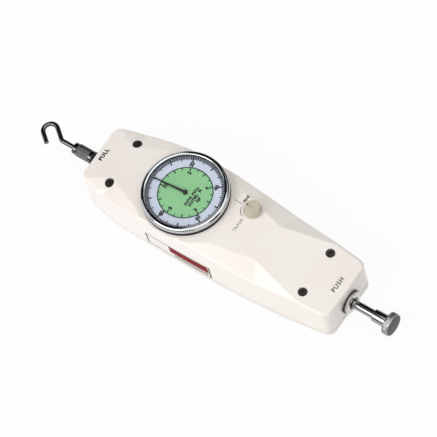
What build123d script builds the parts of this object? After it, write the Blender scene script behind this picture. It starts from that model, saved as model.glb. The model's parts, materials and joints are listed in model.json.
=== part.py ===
from build123d import *
import math
import os

# A push-pull force gauge that lies on its flat back. X runs along the shaft, with the push
# end at +X and the hook at -X. Z comes out of the dial, and Z = 0 is the back face. The
# origin is the centre of the four mounting holes in the back. All sizes are millimetres.

# ---- body envelope, seen from the dial side -------------------------------------------------
BODY_LENGTH = 190.8
PULL_END_WIDTH = 38.0
SHOULDER_WIDTH = 51.4
FLANK_WIDTH_BACK = 54.8
FLANK_WIDTH_FRONT = 57.6
HIP_WIDTH = 57.0
WAIST_WIDTH_BACK = 55.0
WAIST_WIDTH_FRONT = 50.8
PUSH_END_WIDTH = 44.0
SHOULDER_X = -72.0
FLANK_X = -40.0
HIP_X = 2.0
WAIST_X = 48.0
END_CORNER_R = 6.0

# ---- body heights and front slopes ----------------------------------------------------------
SEAM_Z = 7.0
PLATEAU_Z = 40.0
PUSH_EDGE_Z = 30.4
PULL_EDGE_Z = 32.5
CREASE_X = -76.0
PUSH_FALL_DEG = 6.0
PULL_FALL_DEG = 7.4
END_FALL_DEG = 11.1
PUSH_RAKE = 2.0
WALL = 3.0
FRONT_EDGE_R = 2.0
COVER_FLOOR = 3.0
COVER_EDGE_R = 3.0
LIP_HEIGHT = 2.0
LIP_THICKNESS = 1.5
LIP_GAP = 0.15

# Ridges of the side facets, as plan points on the top surface, and each facet's extra fall.
APEX_INSET = 13.5
END_RIDGE_X = -91.3
END_RIDGE_OUTSET = 0.7
END_FACET_DEG = 18.0
PULL_RIDGE_X = -47.5
RIDGE_ROOT_INSET = 5.1
PULL_FACET_DEG = 20.0
PUSH_RIDGE_X = -2.0
PUSH_FACET_DEG = 20.5
WAIST_APEX_X = 36.0
WAIST_APEX_INSET = 11.8
WAIST_RIDGE_X = 76.0
WAIST_RIDGE_OUTSET = 1.1
WAIST_FACET_DEG = 24.0

# ---- housing screws, M3 socket heads --------------------------------------------------------
PULL_SCREW_X = -75.3
PUSH_SCREW_X = 72.3
SCREW_Y = 15.5
SCREW_HEAD_R = 2.75
SCREW_HEAD_H = 3.0
SCREW_SHANK_R = 1.5
SCREW_SOCKET_AF = 2.5
SCREW_SOCKET_DEPTH = 1.4
SCREW_TIP_Z = 2.0
PULL_SCREW_SINK = 1.4
PUSH_SCREW_SINK = 0.5
COUNTERBORE_GAP = 0.4
COLUMN_R = 4.9
FASTENER_GAP = 0.05

# ---- mounting holes in the back, M5 ---------------------------------------------------------
MOUNT_SPACING_X = 90.0
MOUNT_SPACING_Y = 30.0
MOUNT_HOLE_R = 2.5
MOUNT_HOLE_DEPTH = 10.0
MOUNT_BOSS_R = 5.5
MOUNT_BOSS_TOP_Z = 12.0

# ---- dial, bezel and window -----------------------------------------------------------------
DIAL_X = -26.0
DIAL_Z = 44.0
DIAL_THICKNESS = 1.0
DIAL_HOLE_R = 3.0
BOSS_MARGIN = 1.1
BOSS_RISE = 0.4
SPIGOT_WALL = 4.5
RUNNING_GAP = 0.08
SEAT_GAP = 0.1
BEZEL_R = 28.4
BEZEL_WALL = 2.1
BEZEL_LIP = 1.0
BEZEL_TOP_Z = 47.6
BEZEL_LIFT = 0.2
BEZEL_ROUND_R = 2.1
BEZEL_FOOT = 0.6
SPACER_HEIGHT = 1.9
SPACER_WALL = 0.9
LENS_THICKNESS = 1.1
WIRE_SIDE = 0.8
WIRE_GROOVE_Z = 41.5
WIRE_GROOVE_HEIGHT = 1.2
WIRE_GROOVE_DEPTH = 0.6

# ---- shaft line -----------------------------------------------------------------------------
SHAFT_Z = 15.0
SHAFT_R = 3.0
STROKE = 10.0
BORE_GAP = 0.04
CLAMP_GAP = 0.02
PUSH_BUSH_FLANGE_R = 7.65
PUSH_BUSH_PROUD = 2.2
PUSH_BUSH_RECESS = 3.4
PUSH_BUSH_R = 5.5
PUSH_BUSH_REACH = 10.7
BUSH_MOUTH_R = 4.4
BUSH_MOUTH_DEPTH = 1.6
PULL_BUSH_FLANGE_R = 6.0
PULL_BUSH_PROUD = 1.2
PULL_BUSH_R = 5.0
PULL_BUSH_REACH = 9.4
BUSH_BOSS_R = 8.0
BUSH_BOSS_LENGTH = 6.0
ROD_SHOWING = 15.9
PUSH_BARREL_R = 4.25
PUSH_BARREL_LENGTH = 10.2
PUSH_DISC_R = 7.7
PUSH_DISC_THICKNESS = 4.5
PUSH_THREAD_DEPTH = 7.5
EDGE_BREAK = 0.5
NUT_FLATS = 10.0
NUT_THICKNESS = 4.0
NUT_STANDOFF = 2.0
SLEEVE_R = 4.25
SLEEVE_LENGTH = 14.4
SLEEVE_NOSE_R = 3.9
SLEEVE_NOSE_LENGTH = 3.0
SLEEVE_GROOVE = 0.5
SLEEVE_THREAD_DEPTH = 10.4

# ---- hook -----------------------------------------------------------------------------------
HOOK_WIRE_R = 1.55
HOOK_STEM = 10.0
HOOK_ROOT_DEPTH = 3.6
HOOK_NECK = 9.3
HOOK_NECK_DEG = 39.0
HOOK_BEND_R = 4.0
HOOK_BOWL_R = 4.75
HOOK_TIP = 7.4

# ---- load spring and stops ------------------------------------------------------------------
WEB_X = 11.0
WEB_THICKNESS = 4.0
WEB_TOP_Z = 25.0
WEB_SLOT_GAP = 0.4
SEAT_R = 7.5
SEAT_THICKNESS = 1.2
SPRING_R = 6.0
SPRING_WIRE_WIDTH = 1.8
SPRING_WIRE_THICKNESS = 2.0
SPRING_TURNS = 6.0
SPRING_END_GAP = 0.3
SPRING_COLLAR_R = 8.0
SPRING_COLLAR_LENGTH = 6.4
STOP_COLLAR_R = 6.0
STOP_COLLAR_LENGTH = 6.0
STOP_GAP = 0.5
REST_GAP = 0.3
SET_SCREW_R = 1.5

# ---- gear train: the stroke turns the pointer once ------------------------------------------
MODULE = 0.5
RACK_PINION_TEETH = 21
TRANSFER_TEETH = 66
CENTRE_TEETH = 20
TOOTH_FILL = 0.40
RACK_Y = 0.0
RACK_HEIGHT = 2.8
RACK_BAR_DEPTH = 3.6
RACK_LEAD = 3.0
RACK_TAIL = 4.0
PLATE_THICKNESS = 1.5
REAR_PLATE_Z = 20.5
FRONT_PLATE_Z = 31.0
PLATE_PUSH_X = 2.5
PLATE_PULL_X = -67.5
PLATE_HALF_WIDTH = 20.0
PLATE_CORNER_R = 4.0
RACK_Z = 22.6
TRANSFER_Z = 26.2
TRANSFER_THICKNESS = 1.6
CENTRE_PINION_HEIGHT = 2.2
WEB_HOLES = 5
WEB_HOLE_R = 3.4
WEB_HOLE_PITCH_R = 9.6
ARBOR_R = 1.0
ARBOR_GAP = 0.04
BRACKET_LENGTH = 14.0
BRACKET_HALF_WIDTH = 4.6
BRACKET_BOTTOM_Z = 10.0
BRACKET_TOP_GAP = 0.9
NECK_LENGTH = 12.0
NECK_THICKNESS = 3.0
NECK_Y = 1.0
NECK_GAP = 0.5
SLOT_END_GAP = 1.5
RACK_SCREW_PITCH = 6.0
RACK_SCREW_R = 1.0
RACK_SCREW_HEAD_R = 1.6
RACK_SCREW_HEAD_H = 1.0
RACK_SCREW_LENGTH = 6.5
PILLAR_R = 2.5
PILLAR_PULL_X = -64.0
PILLAR_PULL_Y = 16.5
PILLAR_PUSH_X = -2.0
PILLAR_PUSH_Y = 16.0
MOVEMENT_SCREW_R = 1.25
MOVEMENT_SCREW_HEAD_R = 2.2
MOVEMENT_SCREW_HEAD_H = 1.6
MOVEMENT_POST_R = 3.2
MOVEMENT_SCREW_BITE = 2.0

# ---- pointer and hairspring -----------------------------------------------------------------
POINTER_Z = 45.0
POINTER_THICKNESS = 0.3
POINTER_TIP_GAP = 1.8
POINTER_ZERO_DEG = 4.0
POINTER_ROOT_HALF = 0.85
POINTER_TIP_HALF = 0.35
HUB_R = 1.6
HUB_NECK_R = 1.25
HUB_BOTTOM_Z = 44.4
HUB_TOP_Z = 45.7
HUB_CAP = 0.2
HUB_EDGE_BREAK = 0.25
HAIRSPRING_Z = 33.2
HAIRSPRING_HEIGHT = 1.2
HAIRSPRING_THICKNESS = 0.25
HAIRSPRING_INNER_R = 2.3
HAIRSPRING_OUTER_R = 7.3
HAIRSPRING_TURNS = 4
COLLET_R = 2.0
STUD_R = 1.0
STUD_HEIGHT = 2.4

# ---- peak hold: knob, cam, pawl and ratchet -------------------------------------------------
KNOB_X = 16.0
KNOB_Y = 13.3
KNOB_TOP_R = 4.9
KNOB_BASE_R = 5.7
KNOB_HEIGHT = 5.0
KNOB_LIFT = 0.25
KNOB_PAD_R = 6.6
KNOB_TURN_DEG = 65.0
KNOB_GROOVE = 0.8
KNOB_GROOVE_DEPTH = 0.4
SPINDLE_R = 1.5
KNOB_BOSS_R = 4.5
KNOB_BOSS_BOTTOM_Z = 33.0
CLIP_R = 3.0
CLIP_THICKNESS = 0.6
CLIP_GROOVE_DEPTH = 0.35
CAM_R = 2.6
CAM_THROW = 1.55
CAM_REST_DEG = 170.0
CAM_THICKNESS = 2.0
CAM_GAP = 0.15
RATCHET_TEETH = 60
RATCHET_R = 9.0
RATCHET_TOOTH = 0.7
RATCHET_Z = 29.0
RATCHET_THICKNESS = 1.2
PAWL_X = -6.0
PAWL_Y = 12.0
PAWL_THICKNESS = 1.0
PAWL_HUB_R = 3.0
PAWL_PIN_R = 1.5
PAWL_PIN_HEAD_R = 2.6
PAWL_PIN_HEAD_H = 0.6
PAWL_TIP_DEG = 60.0
PAWL_TIP_GAP = 0.3
PAWL_TIP_HALF = 0.35
PAWL_ARM_HALF = 1.5
PAWL_TAIL_DEPTH = 2.2
PAWL_TAIL_OVERRUN = 2.5

# ---- values worked out from the sizes above -------------------------------------------------
END_X = BODY_LENGTH / 2
PUSH_FALL = math.tan(math.radians(PUSH_FALL_DEG))
PULL_FALL = math.tan(math.radians(PULL_FALL_DEG))
END_FALL = math.tan(math.radians(END_FALL_DEG))
CREASE_Z = PULL_EDGE_Z + END_FALL * (CREASE_X + END_X)
APEX_Y = SHOULDER_WIDTH / 2 - APEX_INSET
END_RIDGE_Y = PULL_END_WIDTH / 2 + END_RIDGE_OUTSET
PULL_ROOT_Y = FLANK_WIDTH_FRONT / 2 - RIDGE_ROOT_INSET
PUSH_ROOT_Y = HIP_WIDTH / 2 - RIDGE_ROOT_INSET
WAIST_APEX_Y = WAIST_WIDTH_FRONT / 2 - WAIST_APEX_INSET
WAIST_RIDGE_Y = PUSH_END_WIDTH / 2 + WAIST_RIDGE_OUTSET
BEZEL_BORE_R = BEZEL_R - BEZEL_WALL
SPIGOT_R = BEZEL_BORE_R - RUNNING_GAP
WELL_R = SPIGOT_R - SPIGOT_WALL
BOSS_R = BEZEL_R + BOSS_MARGIN
DIAL_R = SPIGOT_R - SEAT_GAP
DIAL_VIEW_R = BEZEL_BORE_R - BEZEL_LIP
POINTER_LENGTH = DIAL_VIEW_R - POINTER_TIP_GAP
BEZEL_BOTTOM_Z = PLATEAU_Z + BOSS_RISE + BEZEL_LIFT
SPIGOT_TOP_Z = DIAL_Z - DIAL_THICKNESS - SEAT_GAP
LENS_BOTTOM_Z = DIAL_Z + SPACER_HEIGHT
LENS_TOP_Z = LENS_BOTTOM_Z + LENS_THICKNESS
ROOF_MARGIN = 10.0

PUSH_BUSH_FACE_X = END_X + PUSH_BUSH_PROUD
PUSH_BUSH_INNER_X = END_X - PUSH_BUSH_REACH
PULL_BUSH_FACE_X = -END_X - PULL_BUSH_PROUD
PULL_BUSH_INNER_X = -END_X + PULL_BUSH_REACH
PUSH_BARREL_X = PUSH_BUSH_FACE_X + ROD_SHOWING
PUSH_DISC_X = PUSH_BARREL_X + PUSH_BARREL_LENGTH
PUSH_FACE_X = PUSH_DISC_X + PUSH_DISC_THICKNESS
NUT_X = PULL_BUSH_FACE_X - NUT_STANDOFF
SLEEVE_X = NUT_X - NUT_THICKNESS
SLEEVE_END_X = SLEEVE_X - SLEEVE_LENGTH
SHAFT_PUSH_X = PUSH_BARREL_X + PUSH_THREAD_DEPTH
SHAFT_PULL_X = SLEEVE_X - SLEEVE_THREAD_DEPTH

WEB_PUSH_X = WEB_X + WEB_THICKNESS / 2
SPRING_SEAT_X = WEB_PUSH_X + SEAT_THICKNESS
SPRING_COLLAR_X = PUSH_BUSH_INNER_X - REST_GAP - SPRING_COLLAR_LENGTH
STOP_COLLAR_X = PULL_BUSH_INNER_X + STROKE + STOP_GAP

RACK_PINION_R = MODULE * RACK_PINION_TEETH / 2
CENTRE_DISTANCE = MODULE * (TRANSFER_TEETH + CENTRE_TEETH) / 2
TRANSFER_Y = RACK_Y - RACK_PINION_R
TRANSFER_X = DIAL_X - math.sqrt(CENTRE_DISTANCE ** 2 - TRANSFER_Y ** 2)
RACK_PUSH_X = TRANSFER_X + STROKE + RACK_LEAD
RACK_PULL_X = TRANSFER_X - RACK_TAIL
RACK_MID_X = (RACK_PUSH_X + RACK_PULL_X) / 2
REAR_PLATE_TOP_Z = REAR_PLATE_Z + PLATE_THICKNESS
FRONT_PLATE_TOP_Z = FRONT_PLATE_Z + PLATE_THICKNESS
CENTRE_PINION_Z = TRANSFER_Z + TRANSFER_THICKNESS / 2 - CENTRE_PINION_HEIGHT / 2
RACK_TOP_Z = RACK_Z + RACK_HEIGHT

KNOB_PAD_Z = PUSH_EDGE_Z + PUSH_FALL * (END_X - KNOB_X)
KNOB_BOTTOM_Z = KNOB_PAD_Z + KNOB_LIFT
KNOB_TOP_Z = KNOB_BOTTOM_Z + KNOB_HEIGHT
PAWL_Z = RATCHET_Z + (RATCHET_THICKNESS - PAWL_THICKNESS) / 2
CAM_Z = PAWL_Z + (PAWL_THICKNESS - CAM_THICKNESS) / 2
CLIP_Z = KNOB_BOSS_BOTTOM_Z - SEAT_GAP - CLIP_THICKNESS

SHAFT_AXIS = Plane(origin=(0, 0, SHAFT_Z), x_dir=(0, 1, 0), z_dir=(1, 0, 0))
DIAL_AXIS = Plane(origin=(DIAL_X, 0, 0), z_dir=(0, 0, 1))

PILLAR_POINTS = [
    (x, side * y)
    for x, y in ((PILLAR_PULL_X, PILLAR_PULL_Y), (PILLAR_PUSH_X, PILLAR_PUSH_Y))
    for side in (1, -1)
]


# ---- small helpers --------------------------------------------------------------------------
def disc(x, y, z0, z1, r):
    """A cylinder along Z from z0 to z1."""
    return Pos(x, y, z0) * Cylinder(r, z1 - z0, align=(Align.CENTER, Align.CENTER, Align.MIN))


def bar(x0, x1, r):
    """A cylinder on the shaft's axis from x0 to x1."""
    plug = Cylinder(r, x1 - x0, align=(Align.CENTER, Align.CENTER, Align.MIN))
    return SHAFT_AXIS * Pos(0, 0, x0) * plug


def block(x0, x1, y0, y1, z0, z1):
    """A box between two corners."""
    return Pos(x0, y0, z0) * Box(x1 - x0, y1 - y0, z1 - z0, align=(Align.MIN, Align.MIN, Align.MIN))


def turned(points):
    """Revolve (X, radius) points about the shaft's axis."""
    section = [(x, SHAFT_Z + r) for x, r in points]
    face = Plane.XZ * make_face(Polyline(*section, close=True))
    return revolve(face, Axis((0, 0, SHAFT_Z), (1, 0, 0)), 360)


def ring_profile(points):
    """Revolve (radius, height) points about the dial's axis."""
    section = [(DIAL_X + r, z) for r, z in points]
    face = Plane.XZ * make_face(Polyline(*section, close=True))
    return revolve(face, Axis((DIAL_X, 0, 0), (0, 0, 1)), 360)


def screw_points():
    """Each housing screw's place and the height of its head's top."""
    pull_top = CREASE_Z - PULL_SCREW_SINK
    push_top = top_z(PUSH_SCREW_X) - PUSH_SCREW_SINK
    for side in (1, -1):
        yield PULL_SCREW_X, side * SCREW_Y, pull_top
        yield PUSH_SCREW_X, side * SCREW_Y, push_top


# ---- body form ------------------------------------------------------------------------------
def outline(z, inset):
    """The body's plan at height z, moved in by inset: bowed sides and rounded end corners.

    The push end's wall leans in towards its foot by PUSH_RAKE.
    """
    t = z / PLATEAU_Z
    push_x = END_X - PUSH_RAKE * (1 - z / PUSH_EDGE_Z)
    flank = FLANK_WIDTH_BACK + t * (FLANK_WIDTH_FRONT - FLANK_WIDTH_BACK)
    waist = WAIST_WIDTH_BACK + t * (WAIST_WIDTH_FRONT - WAIST_WIDTH_BACK)
    stations = [
        (-END_X, PULL_END_WIDTH / 2),
        (SHOULDER_X, SHOULDER_WIDTH / 2),
        (FLANK_X, flank / 2),
        (HIP_X, HIP_WIDTH / 2),
        (WAIST_X, waist / 2),
        (push_x, PUSH_END_WIDTH / 2),
    ]
    far = Spline(*[(x, y - inset) for x, y in stations])
    near = Spline(*[(x, inset - y) for x, y in stations])
    face = make_face([far, Line(far @ 1, near @ 1), near, Line(near @ 0, far @ 0)])
    if inset:
        length = push_x + END_X - 2 * inset
        face = face & (Pos((push_x - END_X) / 2, 0) * Rectangle(length, FLANK_WIDTH_FRONT))
    return Pos(0, 0, z) * fillet(face.vertices(), END_CORNER_R - inset)


def prism(inset, z0, z1):
    """The body's walls between two heights, without its front surface."""
    return loft([outline(z0, inset), outline(z1, inset)], ruled=True)


def plate(inset, z0, z1):
    """A straight-sided plate between two heights, with the plan that the body has at the seam."""
    return extrude(Pos(0, 0, z0 - SEAM_Z) * outline(SEAM_Z, inset), z1 - z0, dir=(0, 0, 1))


def top_z(x):
    """Height of the front surface along the centre line."""
    return min(
        PLATEAU_Z,
        PUSH_EDGE_Z + PUSH_FALL * (END_X - x),
        CREASE_Z + PULL_FALL * (x - CREASE_X),
        CREASE_Z + END_FALL * (x - CREASE_X),
    )


def roof(drop):
    """Everything below the front surface's four lengthwise slopes, lowered by drop."""
    far = END_X + ROOF_MARGIN
    pull_top = CREASE_X + (PLATEAU_Z - CREASE_Z) / PULL_FALL
    push_top = END_X - (PLATEAU_Z - PUSH_EDGE_Z) / PUSH_FALL
    ridge = [(far, top_z(far)), (push_top, PLATEAU_Z), (pull_top, PLATEAU_Z)]
    ridge += [(CREASE_X, CREASE_Z), (-far, top_z(-far))]
    points = [(-far, -ROOF_MARGIN), (far, -ROOF_MARGIN)] + [(x, z - drop) for x, z in ridge]
    return extrude(Plane.XZ * make_face(Polyline(*points, close=True)), amount=FLANK_WIDTH_FRONT, both=True)


def below_facet(start, end, fall_deg, drop, side):
    """Half space under a side facet that hangs from the ridge line start-end."""
    (x1, y1), (x2, y2) = start, end
    run = math.hypot(x2 - x1, y2 - y1)
    out_x, out_y = -abs(y2 - y1) / run * math.copysign(1, (x2 - x1) * (y2 - y1)), abs(x2 - x1) / run
    slope = (top_z(x2) - top_z(x1)) / (x2 - x1)
    fall = math.tan(math.radians(fall_deg))
    first = Vector(x1, side * y1, top_z(x1) - drop)
    second = Vector(x2, side * y2, top_z(x2) - drop)
    third = Vector(x1 + out_x, side * (y1 + out_y), top_z(x1) + slope * out_x - fall - drop)
    normal = (second - first).cross(third - first)
    if normal.Z < 0:
        normal = normal * -1
    side_length = 2 * BODY_LENGTH
    slab = Box(side_length, side_length, BODY_LENGTH, align=(Align.CENTER, Align.CENTER, Align.MAX))
    return Plane(origin=first, x_dir=second - first, z_dir=normal) * slab


def under_facets(solid, facets, drop):
    """Trim a solid by the same facets on both sides."""
    for start, end, fall_deg in facets:
        for side in (1, -1):
            solid = solid & below_facet(start, end, fall_deg, drop, side)
    return solid


def body_form(inset, drop, z0):
    """The whole body from z0 up: a low faceted bar and the hill that carries the dial."""
    bar_form = prism(inset, z0, PLATEAU_Z + ROOF_MARGIN) & roof(drop)
    apex = (CREASE_X, APEX_Y)
    waist_apex = (WAIST_APEX_X, WAIST_APEX_Y)
    low_facets = [
        (apex, (END_RIDGE_X, END_RIDGE_Y), END_FACET_DEG),
        (waist_apex, (WAIST_RIDGE_X, WAIST_RIDGE_Y), WAIST_FACET_DEG),
    ]
    hill_facets = [
        (apex, (PULL_RIDGE_X, PULL_ROOT_Y), PULL_FACET_DEG),
        ((PUSH_RIDGE_X, PUSH_ROOT_Y), waist_apex, PUSH_FACET_DEG),
    ]
    return under_facets(bar_form, low_facets, drop) + under_facets(bar_form, hill_facets, drop)


def outer_form():
    """The body's outside with every front edge rounded."""
    form = body_form(0, 0, SEAM_Z)
    lowest = min(PUSH_EDGE_Z, PULL_EDGE_Z) - FRONT_EDGE_R
    front_edges = [edge for edge in form.edges() if edge.bounding_box().min.Z > lowest - FRONT_EDGE_R]
    return fillet(front_edges, FRONT_EDGE_R)


# ---- housing --------------------------------------------------------------------------------
def housing_pillars():
    """Bosses inside the front housing: screw columns, bush bosses, movement posts, web."""
    parts = [disc(x, y, SEAM_Z, PLATEAU_Z, COLUMN_R) for x, y, top in screw_points()]
    parts += [disc(x, y, FRONT_PLATE_TOP_Z, PLATEAU_Z, MOVEMENT_POST_R) for x, y in PILLAR_POINTS]
    parts.append(disc(KNOB_X, KNOB_Y, KNOB_BOSS_BOTTOM_Z, PLATEAU_Z, KNOB_BOSS_R))
    inner_x = END_X - WALL - BUSH_BOSS_LENGTH
    parts.append(bar(inner_x, END_X, BUSH_BOSS_R))
    parts.append(bar(-END_X, -inner_x, BUSH_BOSS_R))
    width = HIP_WIDTH / 2
    parts.append(block(WEB_X - WEB_THICKNESS / 2, WEB_PUSH_X, -width, width, SEAM_Z, WEB_TOP_Z))
    return parts


def bezel_seat():
    """The round boss under the bezel and the spigot that the bezel turns on."""
    boss = disc(DIAL_X, 0, PLATEAU_Z - WALL, PLATEAU_Z + BOSS_RISE, BOSS_R)
    boss = boss & prism(0, SEAM_Z, PLATEAU_Z + ROOF_MARGIN)
    spigot = disc(DIAL_X, 0, PLATEAU_Z - WALL, SPIGOT_TOP_Z, SPIGOT_R)
    groove_z = WIRE_GROOVE_Z - WIRE_GROOVE_HEIGHT / 2
    groove = disc(DIAL_X, 0, groove_z, groove_z + WIRE_GROOVE_HEIGHT, SPIGOT_R + WALL)
    groove -= disc(DIAL_X, 0, groove_z, groove_z + WIRE_GROOVE_HEIGHT, SPIGOT_R - WIRE_GROOVE_DEPTH)
    return boss + (spigot - groove)


def front_housing():
    """The cast front: shell, bosses, bezel seat, and the holes for all that goes through it."""
    outer = outer_form()
    shell = outer - body_form(WALL, WALL, SEAM_Z - WALL)
    for part in housing_pillars():
        shell = shell + (part & outer)
    shell = shell + bezel_seat()
    pad = disc(KNOB_X, KNOB_Y, KNOB_PAD_Z - WALL, KNOB_PAD_Z, KNOB_PAD_R)
    shell = shell + pad - disc(KNOB_X, KNOB_Y, KNOB_PAD_Z, PLATEAU_Z + WALL, KNOB_PAD_R)
    shell = shell - disc(KNOB_X, KNOB_Y, KNOB_BOSS_BOTTOM_Z - WALL, PLATEAU_Z, SPINDLE_R + BORE_GAP)
    shell = shell - disc(DIAL_X, 0, PLATEAU_Z - 2 * WALL, DIAL_Z, WELL_R)
    for x, y, top in screw_points():
        shell = shell - disc(x, y, 0, PLATEAU_Z, SCREW_SHANK_R + COUNTERBORE_GAP / 2)
        shell = shell - disc(x, y, top - SCREW_HEAD_H, PLATEAU_Z, SCREW_HEAD_R + COUNTERBORE_GAP)
    for x, y in PILLAR_POINTS:
        tip = FRONT_PLATE_TOP_Z + MOVEMENT_SCREW_BITE + SEAT_GAP
        shell = shell - disc(x, y, FRONT_PLATE_Z, tip, MOVEMENT_SCREW_R + FASTENER_GAP)
    shell = shell - bar(PUSH_BUSH_INNER_X, END_X, PUSH_BUSH_R + CLAMP_GAP)
    shell = shell - bar(END_X - PUSH_BUSH_RECESS, END_X + WALL, PUSH_BUSH_FLANGE_R + COUNTERBORE_GAP)
    shell = shell - bar(-END_X - WALL, PULL_BUSH_INNER_X, PULL_BUSH_R + CLAMP_GAP)
    slot_r = SHAFT_R + WEB_SLOT_GAP
    shell = shell - bar(WEB_X - WEB_THICKNESS, WEB_X + WEB_THICKNESS, slot_r)
    slot = block(WEB_X - WEB_THICKNESS, WEB_X + WEB_THICKNESS, -slot_r, slot_r, 0, SHAFT_Z)
    return shell - slot


def back_cover():
    """The cast back: rounded edge, locating lip, screw bosses and mounting bosses."""
    shell = plate(0, 0, SEAM_Z)
    shell = fillet(shell.edges().group_by(Axis.Z)[0], COVER_EDGE_R)
    lip_top = SEAM_Z + LIP_HEIGHT
    shell = shell + plate(WALL + LIP_GAP, SEAM_Z - LIP_THICKNESS, lip_top)
    shell = shell - plate(WALL + LIP_THICKNESS, COVER_FLOOR, lip_top + LIP_HEIGHT)
    web_half = WEB_THICKNESS / 2 + COUNTERBORE_GAP
    web_width = WAIST_WIDTH_BACK / 2
    shell = shell - block(WEB_X - web_half, WEB_X + web_half, -web_width, web_width, SEAM_Z, lip_top)
    shell = shell - bar(-END_X, END_X, BUSH_BOSS_R + COUNTERBORE_GAP)
    for x, y, top in screw_points():
        shell = shell - disc(x, y, SEAM_Z, lip_top, COLUMN_R + COUNTERBORE_GAP)
        boss = disc(x, y, COVER_FLOOR / 2, SEAM_Z, COLUMN_R)
        shell = shell + boss - disc(x, y, SCREW_TIP_Z - SEAT_GAP, SEAM_Z, SCREW_SHANK_R + FASTENER_GAP)
    for x in (-MOUNT_SPACING_X / 2, MOUNT_SPACING_X / 2):
        for y in (-MOUNT_SPACING_Y / 2, MOUNT_SPACING_Y / 2):
            boss = disc(x, y, COVER_FLOOR / 2, MOUNT_BOSS_TOP_Z, MOUNT_BOSS_R)
            shell = shell + boss - disc(x, y, 0, MOUNT_HOLE_DEPTH, MOUNT_HOLE_R)
    return shell


def housing_screws():
    screws = []
    for x, y, top in screw_points():
        screw = disc(x, y, top - SCREW_HEAD_H, top, SCREW_HEAD_R)
        screw = screw + disc(x, y, SCREW_TIP_Z, top - SCREW_HEAD_H, SCREW_SHANK_R)
        hexagon = RegularPolygon(SCREW_SOCKET_AF / 2, 6, major_radius=False)
        socket = extrude(Pos(x, y, top - SCREW_SOCKET_DEPTH) * hexagon, SCREW_SOCKET_DEPTH)
        screws.append(screw - socket)
    return screws


# ---- bezel group ----------------------------------------------------------------------------
def bezel_ring():
    profile = [
        (BEZEL_BORE_R, BEZEL_BOTTOM_Z),
        (BEZEL_R - BEZEL_FOOT, BEZEL_BOTTOM_Z),
        (BEZEL_R, BEZEL_BOTTOM_Z + BEZEL_FOOT),
    ]
    centre_r = BEZEL_R - BEZEL_ROUND_R
    centre_z = BEZEL_TOP_Z - BEZEL_ROUND_R
    for step in range(0, 6):
        angle = math.radians(18 * step)
        profile.append((centre_r + BEZEL_ROUND_R * math.cos(angle), centre_z + BEZEL_ROUND_R * math.sin(angle)))
    profile += [
        (DIAL_VIEW_R + EDGE_BREAK, BEZEL_TOP_Z - EDGE_BREAK / 2),
        (DIAL_VIEW_R, LENS_TOP_Z + SEAT_GAP),
        (DIAL_VIEW_R, LENS_TOP_Z),
        (BEZEL_BORE_R, LENS_TOP_Z),
    ]
    ring = ring_profile(profile)
    groove_z = WIRE_GROOVE_Z - WIRE_GROOVE_HEIGHT / 2
    groove = disc(DIAL_X, 0, groove_z, groove_z + WIRE_GROOVE_HEIGHT, BEZEL_BORE_R + WIRE_GROOVE_DEPTH)
    return ring - groove


def bezel_wire():
    """Square spring wire in the two grooves, which keeps the bezel on its spigot."""
    inner_r = (SPIGOT_R + BEZEL_BORE_R - WIRE_SIDE) / 2
    low = WIRE_GROOVE_Z - WIRE_SIDE / 2
    ring = disc(DIAL_X, 0, low, low + WIRE_SIDE, inner_r + WIRE_SIDE)
    ring -= disc(DIAL_X, 0, low, low + WIRE_SIDE, inner_r)
    gap = block(DIAL_X, DIAL_X + 2 * BEZEL_R, -WALL / 2, WALL / 2, PLATEAU_Z, DIAL_Z)
    return ring - gap


def dial_plate():
    bottom = DIAL_Z - DIAL_THICKNESS
    return disc(DIAL_X, 0, bottom, DIAL_Z, DIAL_R) - disc(DIAL_X, 0, bottom, DIAL_Z, DIAL_HOLE_R)


def dial_spacer():
    outer_r = SPIGOT_R
    ring = disc(DIAL_X, 0, DIAL_Z, LENS_BOTTOM_Z, outer_r)
    return ring - disc(DIAL_X, 0, DIAL_Z, LENS_BOTTOM_Z, outer_r - SPACER_WALL)


def lens():
    return disc(DIAL_X, 0, LENS_BOTTOM_Z, LENS_TOP_Z, SPIGOT_R)


# ---- shaft line -----------------------------------------------------------------------------
def push_end_bush():
    recess_x = END_X - PUSH_BUSH_RECESS
    return turned([
        (PUSH_BUSH_INNER_X, SHAFT_R + BORE_GAP),
        (PUSH_BUSH_INNER_X, PUSH_BUSH_R),
        (recess_x, PUSH_BUSH_R),
        (recess_x, PUSH_BUSH_FLANGE_R),
        (PUSH_BUSH_FACE_X - EDGE_BREAK, PUSH_BUSH_FLANGE_R),
        (PUSH_BUSH_FACE_X, PUSH_BUSH_FLANGE_R - EDGE_BREAK),
        (PUSH_BUSH_FACE_X, BUSH_MOUTH_R),
        (PUSH_BUSH_FACE_X - BUSH_MOUTH_DEPTH, BUSH_MOUTH_R),
        (PUSH_BUSH_FACE_X - BUSH_MOUTH_DEPTH, SHAFT_R + BORE_GAP),
    ])


def pull_end_bush():
    return turned([
        (PULL_BUSH_INNER_X, SHAFT_R + BORE_GAP),
        (PULL_BUSH_INNER_X, PULL_BUSH_R),
        (-END_X, PULL_BUSH_R),
        (-END_X, PULL_BUSH_FLANGE_R),
        (PULL_BUSH_FACE_X + EDGE_BREAK, PULL_BUSH_FLANGE_R),
        (PULL_BUSH_FACE_X, PULL_BUSH_FLANGE_R - EDGE_BREAK),
        (PULL_BUSH_FACE_X, SHAFT_R + BORE_GAP),
    ])


def main_shaft():
    return turned([
        (SHAFT_PULL_X, 0),
        (SHAFT_PULL_X, SHAFT_R - EDGE_BREAK),
        (SHAFT_PULL_X + EDGE_BREAK, SHAFT_R),
        (SHAFT_PUSH_X - EDGE_BREAK, SHAFT_R),
        (SHAFT_PUSH_X, SHAFT_R - EDGE_BREAK),
        (SHAFT_PUSH_X, 0),
    ])


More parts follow.
